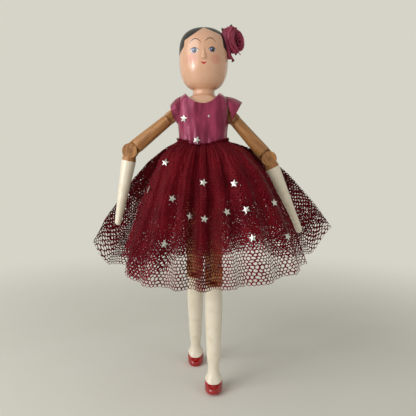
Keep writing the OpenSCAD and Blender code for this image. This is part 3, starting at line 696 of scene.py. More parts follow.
finish_piece(
    "nose_wedge", nose_bm, [head_paint], "torso", ["nose"], math.radians(75)
)

# %% [markdown]
# The lower legs keep the CAD stick down to the calf. From there the photograph shows a slim
# ankle, a flare with a bright rim, and a small glossy shoe carved in one with the leg, with a
# blunt toe. They are built as a stack of rings from the sole up, and the rings are bridged.

# %% Shoes
shoe_red = Finish("red_enamel", roughness=0.2, coat=0.4)
shoe_red.set("Coat Roughness", 0.06)
streaks = shoe_red.noise(shoe_red.here(stretch=(1, 1, 0.3)), 0.5, 3.0).ramp(0.35, 0.7)
shoe_red.set("Base Color", shoe_red.mix(streaks, colour("#8a0407"), colour("#b2090c")))
shoe_red.bump(shoe_red.noise(shoe_red.here(), 0.3, 2.0), 0.15, 0.0004)

shin_l = 100.0
shoe_half_w = 7.6
toe_l = 14.0
heel_l = 6.6
ball_l = toe_l * 0.3
toe_spring = math.radians(12)
calf_up = 30.0
ring_points = 48
# Height over the sole, shares of the half width, the toe and the heel, and dip of the front.
shoe_rings = [
    (0.0, 0.86, 0.93, 0.9, 0.0), (0.35, 0.94, 0.985, 0.97, 0.0), (1.4, 0.99, 1.0, 1.0, 0.0),
    (3.4, 1.0, 0.985, 1.0, 0.2), (5.6, 1.0, 0.9, 0.99, 0.9), (7.6, 0.985, 0.77, 0.97, 1.7),
    (9.2, 0.965, 0.66, 0.95, 2.6), (10.4, 0.945, 0.585, 0.93, 3.2),
]
lip_rings = [
    (10.9, 0.96, 0.58, 0.94, 3.2), (11.5, 0.94, 0.55, 0.93, 2.9), (12.2, 0.87, 0.5, 0.9, 2.0),
]
ankle_rings = [(13.5, 5.75), (15.0, 5.15), (17.0, 4.8), (19.5, 4.7), (22.5, 4.85)]


def shoe_ring(bm, height, width_share, toe_share, heel_share, dip):
    ring = bmesh.ops.create_circle(bm, segments=ring_points, radius=1.0)["verts"]
    for vert in ring:
        forward, across = -vert.co.y, vert.co.x
        reach = toe_l * toe_share if forward > 0 else heel_l * heel_share
        bluntness = 0.8 if forward > 0 else 0.9
        out = math.copysign(abs(across) ** bluntness, across) * shoe_half_w * width_share
        run = forward * reach
        lift = max(0.0, run - ball_l) * math.tan(toe_spring)
        vert.co = (out, -run, height + lift - dip * max(0.0, forward) ** 1.5)
    return ring


def ankle_ring(bm, height, radius):
    ring = bmesh.ops.create_circle(bm, segments=ring_points, radius=radius)["verts"]
    bmesh.ops.translate(bm, verts=ring, vec=(0, 0, height))
    return ring


def edges_of(ring):
    members = set(ring)
    return list({e for v in ring for e in v.link_edges if e.other_vert(v) in members})


def foot(bm, calf_r):
    """The shoe, its rim and the ankle, with faces of material 1 where it is red."""
    red = [shoe_ring(bm, *row) for row in shoe_rings]
    cream = [shoe_ring(bm, *row) for row in lip_rings]
    cream += [ankle_ring(bm, *row) for row in ankle_rings]
    cream += [ankle_ring(bm, calf_up - 3.6, (calf_r + 4.95) / 2), ankle_ring(bm, calf_up, calf_r)]
    red_faces = bmesh.ops.contextual_create(bm, geom=edges_of(red[0]))["faces"]
    stack = red + cream
    for low, high in zip(stack, stack[1:]):
        made = bmesh.ops.bridge_loops(bm, edges=edges_of(low) + edges_of(high))["faces"]
        if high in red:
            red_faces += made
    for face in red_faces:
        face.material_index = 1


for side in sides:
    hip, knee = joint[f"hip_{side}"], joint[f"knee_{side}"]
    down = (knee - hip).normalized() if side == "right" else Vector((0, 0, -1))
    calf = knee + down * (shin_l - calf_up) * mm
    leg_bm = cad_piece(f"lower_leg_{side}", calf, down)
    rim = [v.co - calf for v in leg_bm.verts if abs((v.co - calf).dot(down)) < 1e-6]
    calf_r = max(spoke.length for spoke in rim) / mm
    shoe_bm = bmesh.new()
    foot(shoe_bm, calf_r)
    bmesh.ops.recalc_face_normals(shoe_bm, faces=shoe_bm.faces)
    bmesh.ops.scale(shoe_bm, vec=(mm, mm, mm), verts=shoe_bm.verts)
    turn = Vector((0, 0, -1)).rotation_difference(down).to_matrix().to_4x4()
    sole = Matrix.Translation(knee + down * shin_l * mm) @ turn
    bmesh.ops.transform(shoe_bm, matrix=sole, verts=shoe_bm.verts)
    shoe_mesh = write_mesh("shoe_only", shoe_bm)
    for face in leg_bm.faces:
        face.material_index = 0
    leg_bm.from_mesh(shoe_mesh)
    leg_finish = limb_finish(f"cream_leg_{side}", knee, knee + down, bare_knee)
    finish_piece(
        f"leg_and_shoe_{side}", leg_bm, [leg_finish, shoe_red],
        f"lower_leg_{side}", [f"lower_leg_{side}"], math.radians(50),
    )
    print("calf radius", round(calf_r, 2))

# %% [markdown]
# Satin is woven so that long threads lie on top: it is glossy along them and it puckers where
# it is sewn. Shade and sheen are painted into its colour: streaks of deep rose stand for the
# shade in its folds, and pink streaks for the sheen where light grazes it. The weave is far too
# fine to show here, so a very fine noise stands for the threads.

# %% Satin


def satin_finish(name, deep, bright, shine=0.34):
    finish = Finish(name, roughness=shine, sheen=0.25)
    finish.set("Sheen Roughness", 0.35)
    finish.set("Sheen Tint", colour("#e88aa6"))
    finish.set("Specular Tint", colour("#f0a0c0"))
    finish.set("Specular IOR Level", 0.75)
    # Painted shade and sheen: up-and-down streaks between the deep and the bright colour.
    painted_shade_and_sheen = finish.noise(finish.here(stretch=(1, 1, 0.25)), 0.2, 2.0).ramp(0.25, 0.75)
    finish.set("Base Color", finish.mix(painted_shade_and_sheen, deep, bright))
    threads = finish.noise(finish.here(stretch=(1, 1, 7)), 2.6, 2.0)
    crush = finish.noise(finish.here(stretch=(1, 1, 0.6)), 0.3, 3.0)
    finish.bump(threads * 0.12 + crush, 0.4, 0.0007)
    return finish


# The deep colours are painted shade in the folds, and the bright ones are painted sheen.
bodice_satin = satin_finish("rose_satin", colour("#671d32"), colour("#9b3957"), 0.27)
rose_satin = satin_finish("dusty_rose_satin", colour("#6c1f30"), colour("#963c50"), 0.4)
print("satins", 2)

# %% [markdown]
# The bodice is two pieces of satin, front and back, seamed at the sides. Each starts as a grid
# whose rows follow the outline of the body, from the waist up over the shoulder. The body is a
# turned stick with its front and back planed flat, so each row is a circle clipped by two
# planes, with its corners rounded off. A few long folds fall from the shoulders, the cloth
# bunches up over the waist, and a soft ridge left of the middle catches the window.

# %% Shape of the satin over the body
waist_r = 18.8
half_depth = 13.0
satin_t = 0.45
shoulder_slope = 5.0
waist_point = 3.4  # The waist dips this far at the middle of the front.
satin_run = [
    (19.7, 3.2), (19.5, 7.5), (20.3, 14.5), (21.5, 21.5), (21.9, 27.5), (21.7, 32.5),
    (20.8, 36.4), (19.2, 39.2), (17.0, 41.4), (14.6, 42.9), (12.0, 43.6),
]


def flattened(angle, r, off):
    """A circle of radius r clipped front and back, and grown by off."""
    power, reach = 9.0, half_depth + 1.6
    clip = (1 + (abs(math.cos(angle)) * r / reach) ** power) ** (-1 / power)
    return torso_x + math.sin(angle) * (r * clip + off), -math.cos(angle) * (r * clip + off)


def satin_fold(angle, share):
    """How far the cloth stands off its smooth wrap, in millimetres."""
    ridge = 1.9 * math.exp(-((angle + 0.34) / 0.3) ** 2) * (1 - 0.4 * share)
    long_fold = 0.3 * math.sin(angle * 7 + 1.1 + 0.6 * math.sin(share * 5)) * (0.3 + share)
    rising = math.sin(math.pi * min(1.0, share * 1.4))
    slant = 0.35 * math.sin(angle * 4 - share * 6 + 0.5) * rising
    bunch = 0.55 * math.sin(angle * 19 + 0.7) * max(0.0, 1 - share * 4.5)
    crush = 0.5 * noise.noise(Vector((angle * 3.1, share * 4.0, 4.2)))
    return max(0.2, 0.5 + ridge + long_fold + slant + bunch + crush)


def on_satin(angle, share, off=0.0):
    """A place on the satin at an angle from the doll's front, and a share of the way up."""
    r, rise = smooth_run(satin_run, share)
    x, y = flattened(angle, r, satin_fold(angle, share) + off)
    slope = shoulder_slope * math.cos(angle) ** 2 * max(0.0, (share - 0.62) / 0.38) ** 1.5
    point = waist_point * max(0.0, math.cos(angle)) ** 3 * (1 - min(1.0, share * 3)) ** 2
    return Vector((x, y, waist_z + rise - slope - point))


# %% Cutting tools for the neck and arms
neckline_x, neckline_r = torso_x - 0.6, 15.0
neckline_z = shoulder_z + 16.75
armhole_r = 10.7
armhole_z = shoulder_z - 2.5
armhole_from, armhole_to = 12.0, 60.0


def cutter(name, start, end, radius):
    bm = bmesh.new()
    bmesh.ops.create_cone(
        bm, cap_ends=True, segments=72, radius1=radius * mm, radius2=radius * mm,
        depth=(end - start).length,
        matrix=Matrix.Translation((start + end) / 2)
        @ Vector((0, 0, 1)).rotation_difference(end - start).to_matrix().to_4x4(),
    )
    return add_object(name, write_mesh(name, bm))


def apply_modifiers(piece):
    graph = bpy.context.evaluated_depsgraph_get()
    done = bpy.data.meshes.new_from_object(piece.evaluated_get(graph))
    piece.modifiers.clear()
    piece.data = done


# %% Bodice
bodice_flat = (0.062, 0.046)
left_after_cuts = 0.72  # A guess at what the neck and the arms leave of a half's cloth.


def bodice_half(name, middle, node):
    seam = math.radians(89.4)
    bm = bmesh.new()
    bmesh.ops.create_grid(bm, x_segments=110, y_segments=80, size=1.0)
    for vert in bm.verts:
        spot = on_satin(middle + vert.co.x * seam, (vert.co.y + 1) / 2)
        vert.co = place(*spot)
    bmesh.ops.recalc_face_normals(bm, faces=bm.faces)
    cloth = sum(face.calc_area() for face in bm.faces)
    piece = finish_piece(name, bm, [bodice_satin])
    thicken(piece, satin_t)
    front, back = (place(neckline_x, y, neckline_z) for y in (-40, 40))
    tools = [cutter("neck_cut", front, back, neckline_r)]
    for sign in sides.values():
        reaches = (armhole_from, armhole_to)
        start, end = (place(torso_x + sign * reach, 0, armhole_z) for reach in reaches)
        tools.append(cutter("arm_cut", start, end, armhole_r))
    for tool in tools:
        with_modifier(piece, "BOOLEAN", operation="DIFFERENCE", solver="EXACT", object=tool)
    bpy.context.view_layer.update()
    apply_modifiers(piece)
    for tool in tools:
        bpy.data.objects.remove(tool)
    piece.data.shade_smooth()
    piece.data.set_sharp_from_angle(angle=corner_angle)
    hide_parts(node)
    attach(piece, "torso")
    min(math.prod(bodice_flat), cloth * left_after_cuts)
    print(name, "cloth", round(cloth * 1e4, 1), "cm2 before its neck and arms are cut")


bodice_half("bodice_front_satin", 0.0, "bodice_front")
bodice_half("bodice_back_satin", math.pi, "bodice_back")

# %% [markdown]
# The cap sleeves are sewn round the armholes and stand off the tops of the arms. Each is a grid
# between two rings: the seam, which lies on the bodice, and the mouth, whose top and bottom
# corners were measured. The left one is loose in front, where a dark gap shows behind it.

# %% Sleeves
seam_samples = [smooth_run(satin_run, i / 60) for i in range(61)]
# Mouth corners as (out from the torso's middle, over the shoulder joint), top and bottom.
sleeve_mouth = {"right": ((27.6, 1.6), (24.6, -9.6)), "left": ((32.8, 3.8), (23.8, -12.0))}
sleeve_gap = {"right": 0.2, "left": 3.0}
mouth_depth = 9.2
cuff_t = 0.4


def seam_place(turn, gap):
    over, back = math.cos(turn), math.sin(turn)
    y, z = (armhole_r + 0.4) * back, armhole_z + (armhole_r + 0.5) * over
    r = min(seam_samples, key=lambda one: abs(waist_z + one[1] - z))[0] + 0.5
    loose = gap * max(0.0, -back) * max(0.0, 0.75 - over)
    return Vector((math.sqrt(r * r - y * y) + loose, y, z))


def cap_sleeve(side):
    sign = sides[side]
    (top_x, top_z), (low_x, low_z) = sleeve_mouth[side]
    bm = bmesh.new()
    bmesh.ops.create_grid(bm, x_segments=110, y_segments=26, size=1.0)
    for vert in bm.verts:
        turn = (vert.co.x + 1) * math.pi
        share = (vert.co.y + 1) / 2
        over = math.cos(turn)
        start = seam_place(turn, sleeve_gap[side])
        end = Vector((
            (top_x + low_x) / 2 + (top_x - low_x) / 2 * over,
            mouth_depth * math.sin(turn) * (1 + 0.04 * math.sin(turn * 4)),
            shoulder_z + (top_z + low_z) / 2 + (top_z - low_z) / 2 * over,
        ))
        out = Vector((0.25, math.sin(turn), over))
        puff = 1.1 * math.sin(math.pi * share) * (0.5 + 0.5 * over)
        gather = 0.22 * math.sin(turn * 16) * (1 - share) ** 1.5
        ripple = 0.35 * math.sin(turn * 4 + 0.8) * share
        spot = start.lerp(end, share) + out * (puff + gather + ripple)
        vert.co = place(torso_x + sign * spot.x, spot.y, spot.z)
    weld(bm, 0.02)
    cloth = sum(face.calc_area() for face in bm.faces)
    replaced = [f"sleeve_{side}"]
    piece = finish_piece(f"cap_sleeve_{side}", bm, [bodice_satin], None, replaced)
    thicken(piece, cuff_t)
    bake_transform(piece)
    print("sleeve", side, round(cloth * 1e4, 1), "cm2")


for side in sides:
    cap_sleeve(side)

# %% [markdown]
# The waist tape holds the gathers. It is a plain woven band, and most of it is under the net.

# %% Waist tape
tape_half_h, tape_under = 2.4, 2.5
tape_bm = bmesh.new()
bmesh.ops.create_grid(tape_bm, x_segments=120, y_segments=6, size=1.0)
for vert in tape_bm.verts:
    angle = vert.co.x * math.pi
    x, y = flattened(angle, waist_r, 0.5 + 0.12 * math.sin(angle * 40))
    vert.co = place(x, y, waist_z - tape_under + vert.co.y * tape_half_h)
weld(tape_bm, 0.02)
tape = finish_piece("waist_band", tape_bm, [bodice_satin], "torso", ["waist_tape"])
thicken(tape, 0.4)

# %% [markdown]
# The skirt's shape is the same in the CAD model and here. Seen from above, an angle of 0 is the
# doll's front and 90 its left. The net leaves the waist nearly level, bends over and falls, a
# curve with one bend, and it reaches further out at the side wings than at the front. Eighteen
# main folds grow towards the hem, and many small gathers start at the waist and fade.

# %% How the net hangs
net_l = 118.0
wing_extra = 18.0
front_out, right_corner_out, left_corner_out = 37.0, 50.0, 64.0
back_out, right_wing_out, left_wing_out = 38.0, 78.0, 91.0
right_puff, left_puff, puff_drop = 0.3, 0.42, 0.08
tape_h = 5.0
fold_h, fold_count = 3.4, 18
fold_step = 360 / fold_count / 6
front_edge, back_edge, lap_angle = 23 * fold_step, 30 * fold_step, 2 * fold_step
wing_rise, wing_fall, wing_end = 3 * fold_step, 8 * fold_step, 45 * fold_step
net_pitch, net_t = 1.2, 0.5
under_off = net_pitch / 2
top_off = under_off + 2 * net_pitch
corner_cut = 8.0
under_share = 0.64


def ease(t):
    t = min(1.0, max(0.0, t))
    return t * t * (3 - 2 * t)


def between(a, b, t):
    return a + (b - a) * t


def side_share(a):
    return ease(abs(a) / front_edge) if abs(a) < 90 else ease((180 - abs(a)) / (180 - back_edge))


def net_out(a):
    if abs(a) < 90:
        return between(front_out, right_corner_out if a < 0 else left_corner_out, side_share(a))
    return between(back_out, right_wing_out if a < 0 else left_wing_out, side_share(a))


def net_drop(a):
    wing = 0.0
    if abs(a) >= 90:
        wing = ease((abs(a) - back_edge) / wing_rise) * ease((wing_end - abs(a)) / wing_fall)
    return math.sqrt((net_l + wing_extra * wing) ** 2 - net_out(a) ** 2)


def net_point(a, s, off, gather=0.0):
    """A point on the skirt at angle a, share s of the way to the hem, off the cloth's inside."""
    out, drop = net_out(a), net_drop(a)
    puff = between(right_puff, right_puff if a < 0 else left_puff, side_share(a)) * out + tape_h
    run = 2 * s * (1 - s) * puff + s * s * out
    fall = -2 * s * (1 - s) * puff_drop * drop - s * s * drop
    way_out = 2 * (1 - 2 * s) * puff + 2 * s * out
    way_down = -2 * (1 - 2 * s) * puff_drop * drop - 2 * s * drop
    length = math.hypot(way_out, way_down)
    turn = math.radians(a)
    start = min(waist_r, half_depth / max(abs(math.cos(turn)), 0.01)) + 1.2
    fold = fold_h * max(s, 0.0) ** 0.7 * math.cos(fold_count * turn)
    r = start + run + fold + gather - off * way_down / length
    z = waist_z + fall + off * way_out / length
    return Vector((r * math.sin(turn) + torso_x * (1 - s) ** 2, -r * math.cos(turn), z))


def whole(a):
    if a <= -90 or a > 0:
        return 1.0
    return 1 - corner_cut / net_l * ease((-a - 15 * fold_step) / (front_edge - 15 * fold_step))


def short(a):
    if abs(a) >= 90:
        return under_share
    return between(under_share, whole(a), ease((-a - 8 * fold_step) / (8 * fold_step)))


print("hem at the front", round(waist_z - net_drop(0), 1), "mm up")

# %% [markdown]
# The net is soft nylon, knitted into six-sided holes. A picture of holes would not do: the
# holes catch light, and the shape is what shows. So the net is built from its threads. A flat
# sheet of six-sided cells is laid out edge to edge, every cell is inset by half a thread and its
# middle is taken out. What is left is the net, and it is carried onto the hanging shape. Near
# the waist the gathers lie one behind another, so there the threads are made to cover more.

# %% Net finish


def net_finish(name, deep, bright):
    finish = Finish(name, roughness=0.55, sheen=0.1)
    finish.set("Sheen Roughness", 0.4)
    finish.set("Sheen Tint", colour("#e0405a"))
    finish.set("Specular Tint", colour("#d05060"))
    patch = finish.noise(finish.here(), 0.05, 3.0).ramp(0.3, 0.7)
    # Painted glints: small paler spots on the threads stand for light caught by the nylon.
    painted_glints = finish.noise(finish.here(), 1.3, 1.0).over(0.68, 0.05)
    tone = finish.mix(patch, deep, bright)
    finish.set("Base Color", finish.mix(painted_glints * 0.3, tone, colour("#b23a48")))
    finish.bump(finish.noise(finish.here(), 3.0, 1.0), 0.3, 0.0002)
    return finish


top_net = net_finish("burgundy_net", colour("#4a070f"), colour("#640e17"))
inner_net = net_finish("deep_burgundy_net", colour("#42060d"), colour("#5a0b14"))
print("nets", 2)

# %% Lay out the flat cells


def flat_cells(bm, width, length, cell):
    """Six-sided faces edge to edge over width by length, corner up, cell across their flats."""
    radius = cell / math.sqrt(3)
    rows = max(2, 2 * round(length / (cell * math.sqrt(3))))
    columns = max(2, round(width / cell))
    row_h, column_w = length / rows, width / columns
    for row in (0, 1):
        for column in range(columns + row):
            x, y = (column + (0.5 if row == 0 else 0.0)) * column_w, (row + 0.5) * row_h
            bmesh.ops.create_circle(
                bm, cap_ends=True, segments=6, radius=radius, matrix=Matrix.Translation((x, y, 0))
            )
    strip = bm.verts[:] + bm.edges[:] + bm.faces[:]
    for pair in range(1, rows // 2):
        copied = bmesh.ops.duplicate(bm, geom=strip)["geom"]
        corners = [g for g in copied if isinstance(g, bmesh.types.BMVert)]
        bmesh.ops.translate(bm, verts=corners, vec=(0, 2 * pair * row_h, 0))
    bmesh.ops.remove_doubles(bm, verts=bm.verts, dist=radius * 0.25)
    return rows * columns


def open_cells(bm, length, cell, thread):
    """Leave only the threads round every cell; they cover more near the gathered waist."""
    bands = 12
    rows = {}
    for face in bm.faces:
        band = min(bands - 1, int(face.calc_center_median().y / length * bands))
        rows.setdefault(band, []).append(face)
    for band, faces in sorted(rows.items()):
        closed = (1 - (band + 0.5) / bands) ** 2.5
        width = between(thread, closed_thread * cell, max(0.0, closed))
        bmesh.ops.inset_individual(bm, faces=faces, thickness=width / 2, use_even_offset=True)
        bmesh.ops.delete(bm, geom=faces, context="FACES_ONLY")


# %% [markdown]
# Eight panels make the skirt: a top layer and a shorter underskirt, each in four. The halves
# lap at the middle of the front and of the back, and the sides are open where the arms hang. A
# panel's cells are laid out as wide as its hem and drawn together towards the waist as it hangs.
# The flat size that is printed for it is that of a flared panel, which nobody measured:
# its mean width is a share of the hem. A panel of the top layer is folded to and fro in three
# plies, and the inner ones end higher up. The raw edge stands up over the waist in small tufts.

# %% Hang and open the cells
# The cloth's waves in millimetres and how many go round: gathers at the waist, folds below it.
waist_gather, waist_gathers = 0.7, 90
hem_gather, hem_gather_loss, hem_gathers = 0.55, 0.2, 54
crumpled = 2.2
heading = 3.0
ply_gap = 0.9
closed_thread = 0.74
even_step = 0.58  # The hanging curve's s runs faster towards the hem; this evens out its steps.


def unturned(a):
    return a - 360 if a > 180 else a


def lap(a, sign):
    middle = abs(a) if abs(a) < 90 else 180 - abs(a)
    return sign * net_pitch / 2 * (1 - ease((middle - lap_angle) / (4 * fold_step)))


def hem_length(first, last, reach, off):
    steps = 240
    spots = [net_point(unturned(between(first, last, i / steps)), 0.92 * reach, off)
             for i in range(steps + 1)]
    return sum((b - a).length for a, b in zip(spots, spots[1:]))


def hung(flat, first, last, sign, off, reach, size, plies, seed):
    """Where a point of the flat cloth comes to hang."""
    width, length = size
    along = min(plies, max(0.0, flat.x / width * plies))
    ply = min(int(along), plies - 1)
    across = along - ply if ply % 2 == 0 else 1 - along + ply
    a = unturned(between(first, last, across))
    down = flat.y - heading
    s = (max(0.0, down) / (length - heading)) ** even_step * reach(a)
    s *= (1, second_ply(a), 0.94 * second_ply(a))[ply]
    turn = math.radians(a)
    crumple = noise.noise(Vector((a * 0.09, s * 7, seed * 2.7 + ply * 5))) * crumpled * ease(s * 3)
    gather = waist_gather * math.cos(turn * waist_gathers) * (1 - s) ** 2
    wave = math.cos(turn * hem_gathers + seed + ply * 1.7)
    gather += (hem_gather - hem_gather_loss * s) * wave * ease(s * 6 + 0.3)
    inner = off + net_t / 2 + lap(a, sign) - ply * ply_gap
    spot = net_point(a, s, inner, gather + crumple)
    if abs(a) < 90:
        spot.z -= waist_point * math.cos(turn) ** 4 * (1 - s) ** 5
    tuft = max(0.0, -down) * (0.7 + 0.6 * noise.noise(Vector((a * 0.35, seed, ply))))
    tuft *= 0.55 + 0.75 * abs(math.sin(turn))
    return spot + Vector((0.45 * math.sin(turn), -0.45 * math.cos(turn), 0.9)) * tuft


def second_ply(a):
    """How far down the folded back part of the cloth reaches, as a share of the outer ply."""
    if abs(a) >= 90:
        return 0.96
    return between(0.86, 0.98 if a < 0 else 0.82, ease((abs(a) - 15) / 30))


def net_panel(name, node, ends, off, reach, finish, cell, thread, fullness, plies, seed):
    first, last, sign = ends
    longest = max(reach(unturned(between(first, last, i / 20))) for i in range(21))
    width = hem_length(first, last, longest, off) * fullness * plies
    length = net_l * longest ** (1 / even_step) + heading
    bm = bmesh.new()
    cells = flat_cells(bm, width, length, cell)
    open_cells(bm, length, cell, thread)
    for vert in bm.verts:
        shift = noise.noise_vector(vert.co * 0.16 + Vector((seed * 7.3, seed, 0))) * cell * 0.35
        jitter = noise.noise_vector(vert.co * 0.45 + Vector((seed * 3.1, 0, seed))) * cell * 0.24
        flat = vert.co + shift * min(1.0, vert.co.y / 12) + jitter
        vert.co = place(*hung(flat, first, last, sign, off, reach, (width, length), plies, seed))
    threads = sum(face.calc_area() for face in bm.faces)
    piece = finish_piece(name, bm, [finish], None, [node], math.radians(180))
    length * mm
    print(name, "flat", round(width), "x", round(length), "mm,", cells, "cells")
    return piece


# %% Hang the skirt
panel_ends = {
    ("front", "right"): (-front_edge, lap_angle, -1),
    ("front", "left"): (-lap_angle, front_edge, 1),
    ("back", "right"): (180 - lap_angle, 360 - back_edge, -1),
    ("back", "left"): (back_edge, 180 + lap_angle, 1),
}


def follow_thigh(piece):
    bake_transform(piece)


def hang_layer(word, off, reach, finish, cell, thread, fullness, plies, seed):
    for (face, side), ends in panel_ends.items():
        node = f"{word}_{face}_{side}"
        seed += 1
        piece = net_panel(
            f"net_{node}", node, ends, off, reach, finish, cell, thread, fullness, plies, seed
        )
        if face == "front":
            follow_thigh(piece)
        else:
            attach(piece, "torso")


hang_layer("skirt", top_off, whole, top_net, 2.75, 0.84, 1.1, 3, 1)
hang_layer("underskirt", under_off, short, inner_net, 3.0, 0.95, 1.3, 1, 11)

# %% [markdown]
# Star sequins are punched from silvered film: thin, bright, a little cupped, and sewn on
# through the middle. A ten-sided circle becomes a star when every other corner is pulled in.

# %% Stars
silver = Finish("silvered_film", roughness=0.24, metallic=0.8)
scratch = silver.noise(silver.here(), 1.1, 3.0).ramp(0.3, 0.7)
silver.set("Base Color", silver.mix(scratch, colour("#b4b5ae"), colour("#dededa")))
silver.set("Roughness", scratch.ramp(0, 1, 0.2, 0.34))
silver.bump(silver.noise(silver.here(), 0.7, 2.0), 0.2, 0.0004)

star_r = 3.3
star_notch = 0.45
star_t = 0.3
star_cup = 0.35
star_gap = 0.45


def add_star(bm, matrix):
    made = bmesh.ops.create_circle(bm, cap_ends=True, segments=10, radius=star_r)["verts"]
    made.sort(key=lambda v: math.atan2(v.co.y, v.co.x))
    for i, vert in enumerate(made):
        if i % 2:
            vert.co *= star_notch
    face = next(f for f in made[0].link_faces if all(v in made for v in f.verts))
    centre = bmesh.ops.poke(bm, faces=[face])
    cup = centre["verts"][0]
    cup.co.z += star_cup
    top = bmesh.ops.extrude_face_region(bm, geom=centre["faces"])["geom"]
    raised = [g for g in top if isinstance(g, bmesh.types.BMVert)]
    bmesh.ops.translate(bm, verts=raised, vec=(0, 0, star_t))
    every = made + [cup] + raised
    bmesh.ops.scale(bm, vec=(mm, mm, mm), verts=every)
    bmesh.ops.transform(bm, matrix=matrix, verts=every)


def laid_on(spot, across, down, turn):
    """A matrix that lays a star on a surface at a spot, from two directions in the surface."""
    z = across.cross(-down).normalized()
    x = across.normalized()
    axes = Matrix((x, z.cross(x), z)).transposed().to_4x4()
    turned = Matrix.Rotation(math.radians(turn + 90), 4, "Z")
    return Matrix.Translation(place(*spot)) @ axes @ turned


def star_on_net(a, s, turn):
    tiny = 0.01
    off = top_off + net_t + abs(lap(a, 1)) + star_gap
    across = net_point(a + tiny, s, off) - net_point(a - tiny, s, off)
    down = net_point(a, s + tiny, off) - net_point(a, s - tiny, off)
    return laid_on(net_point(a, s, off), across, down, turn)


def star_on_bodice(x, rise, turn, size):
    """The nearest of many shares of the way up, and then the nearest of many angles."""
    shares = [i / 200 for i in range(160)]
    share = min(shares, key=lambda t: abs(smooth_run(satin_run, t)[1] - rise))
    angles = [math.radians(i / 2) for i in range(-150, 151)]
    angle = min(angles, key=lambda t: abs(on_satin(t, share).x - x))
    tiny, off = 0.05, 0.7
    across = on_satin(angle + tiny, share, off) - on_satin(angle - tiny, share, off)
    down = on_satin(angle, share - tiny, off) - on_satin(angle, share + tiny, off)
    return laid_on(on_satin(angle, share, off), across, down, turn) @ Matrix.Scale(size, 4)


def star_piece(name, matrices, node, body):
    bm = bmesh.new()
    for matrix in matrices:
        add_star(bm, matrix)
    bmesh.ops.recalc_face_normals(bm, faces=bm.faces)
    return finish_piece(name, bm, [silver], body, [node], math.radians(20))


# %% Sew on the stars
star_places = {
    "right": [(-55, 0.34, 10), (-62, 0.56, 40), (-34, 0.6, -8), (-14, 0.69, 20), (-34, 0.83, 5)],
    "left": [
        (0, 0.49, 0), (34, 0.51, 15), (22, 0.67, 30), (37, 0.67, -20), (59, 0.66, 12),
        (1, 0.7, 4), (37, 0.81, 30), (59, 0.84, -12),
    ],
    "back": [
        (120, 0.4, 0), (140, 0.55, 20), (160, 0.35, 10), (180, 0.7, -10),
        (-160, 0.5, 15), (-140, 0.75, 0), (-120, 0.45, 25), (-106, 0.7, 8), (106, 0.78, -15),
    ],
}
for side in sides:
    stars = star_piece(
        f"sequins_front_{side}", [star_on_net(*p) for p in star_places[side]],
        f"stars_front_{side}", None,
    )
    follow_thigh(stars)
star_piece("sequins_back", [star_on_net(*p) for p in star_places["back"]], "stars_back", "torso")
bodice_stars = [
    (torso_x - 15.2, 21.3, 10, 1.0), (torso_x - 5.0, 5.6, 0, 1.0), (torso_x + 4.6, 23.0, 45, 0.4)
]
star_piece("sequins_bodice", [star_on_bodice(*p) for p in bodice_stars], "bodice_stars", "torso")

# %% [markdown]
# The rose is one length of satin ribbon. Its end is rolled up tight, and the rest is folded
# back and forth beside the roll and ends in a short cut tail. It is seen half from the side, so
# the turns of the roll crowd together at its far edge and open out like steps on the near one.
# The roll is a long grid wound into such a shifted spiral.

# %% The rolled bud
rose_spot = place(head_r * 1.24, -1.6, head_z + 8.8)
rose_turn = math.radians(24)
rose_side = Vector((math.cos(rose_turn), math.sin(rose_turn), 0))
rose_out = Vector((math.sin(rose_turn), -math.cos(rose_turn), 0))


def rose_place(side, up, out):
    return rose_spot + (rose_side * side + Vector((0, 0, up)) + rose_out * out) * mm


bud_turns = 3.4
bud_bm = bmesh.new()
bmesh.ops.create_grid(bud_bm, x_segments=260, y_segments=18, size=1.0)
for vert in bud_bm.verts:
    along = (vert.co.x + 1) / 2
    rise = (vert.co.y + 1) / 2
    turn = along * bud_turns * math.tau
    lean = 0.12 + 0.88 * rise ** 0.6
    tall = (0.7 + 7.6 * along ** 0.9) * lean
    wide = (0.6 + 5.1 * along ** 0.9) * lean
    flare = (0.1 + 1.0 * along) * rise ** 2.5 - 0.5 * (1 - rise)
    wave = 0.4 * math.sin(turn * 2.5 + 0.5) * along * rise
    left = 2.9 - 2.2 * along
    side = left + math.cos(turn) * (wide + flare + wave)
    up = 1.0 - 0.8 * along + math.sin(turn) * (tall + flare + wave)
    lip = 5.6 - 1.4 * along + 0.7 * math.sin(turn * 1.5 + 1) * along
    vert.co = rose_place(side, up, (lip + 1.2 * math.cos(turn) * along) * rise)
bud = finish_piece("ribbon_bud", bud_bm, [rose_satin], None, ["rose_bud"], math.pi)
thicken(bud, 0.5)
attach(bud, "torso")
print("bud turns", bud_turns)

# %% [markdown]
# Each fold of the ribbon is a strip with a round back that follows a bent line from the crown
# down to the tail. A few measured spots give each line: side, up, out and half width.

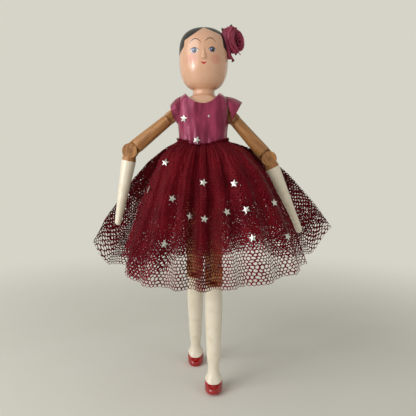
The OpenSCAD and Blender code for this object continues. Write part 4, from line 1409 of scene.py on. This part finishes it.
# %% The folded ribbon beside the bud
fold_lines = [
    [(-5.8, 10.6, 0.6, 2.6), (-8.4, 6.0, 1.6, 2.5), (-8.3, 0.0, 2.2, 2.4), (-6.4, -6.5, 1.4, 2.7),
     (-5.0, -10.8, 0.8, 3.0), (-4.0, -14.2, 0.2, 3.4)],
    [(-3.0, 11.8, 1.8, 2.5), (-5.4, 6.5, 3.4, 2.3), (-5.0, 0.0, 4.0, 2.2), (-2.6, -5.2, 3.2, 2.3),
     (0.2, -9.2, 1.8, 2.2)],
    [(0.2, 11.2, 2.0, 2.6), (-2.6, 5.2, 4.4, 2.0), (-2.4, -0.6, 5.0, 1.9), (0.2, -5.0, 4.2, 2.0),
     (3.4, -8.8, 2.2, 1.9)],
]
fold_bm = bmesh.new()
for fold, line in enumerate(fold_lines):
    made = bmesh.ops.create_grid(fold_bm, x_segments=48, y_segments=20, size=1.0)["verts"]
    for vert in made:
        side, up, out, half = smooth_run(line, (vert.co.x + 1) / 2)
        side += 0.4 - 0.4 * out
        over = vert.co.y * math.radians(112)
        ripple = 0.45 * math.sin(vert.co.x * 7 + fold * 2 + vert.co.y * 3)
        pleat = 0.55 * math.cos(vert.co.y * 5 + fold + 1.5 * math.sin(vert.co.x * 4 + fold))
        vert.co = rose_place(
            side + math.sin(over) * half + ripple, up - 0.25 * vert.co.y * half,
            out + (math.cos(over) - 0.3) * half * 1.25 + pleat,
        )
bmesh.ops.recalc_face_normals(fold_bm, faces=fold_bm.faces)
folds = finish_piece(
    "ribbon_folds", fold_bm, [rose_satin], None, ["rose_ribbon"], math.pi
)
thicken(folds, 0.45)
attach(folds, "torso")

# %% [markdown]
# Two dark leaf tips look out over the top of the rose. Each is a pointed oval of stiff cloth
# with a crease along its middle.

# %% Leaves
leaf_green = Finish("leaf_cloth", roughness=0.7)
vein = leaf_green.noise(leaf_green.here(), 0.9, 3.0).ramp(0.35, 0.7)
leaf_green.set("Base Color", leaf_green.mix(vein, colour("#181f15"), colour("#2b3423")))
leaf_green.bump(vein, 0.3, 0.0004)
leaf_bm = bmesh.new()
for side, up, lean, size in ((-2.6, 10.6, 12, 4.6), (-8.6, 8.4, -38, 3.6)):
    made = bmesh.ops.create_grid(leaf_bm, x_segments=10, y_segments=14, size=1.0)["verts"]
    turn = Matrix.Rotation(math.radians(lean), 3, "Y")
    for vert in made:
        along = vert.co.y
        half = (1 - along * along) ** 0.8 * 0.5
        crease = abs(vert.co.x) * 0.16 + 0.12 * along * along
        flat = turn @ Vector((vert.co.x * half * size, crease * size, along * size))
        vert.co = rose_place(side + flat.x, up + flat.z, -0.6 - flat.y)
bmesh.ops.remove_doubles(leaf_bm, verts=leaf_bm.verts, dist=0.02 * mm)
leaves = finish_piece("leaf_tips", leaf_bm, [leaf_green], None, ["rose_leaves"])
thicken(leaves, 0.4)
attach(leaves, "torso")
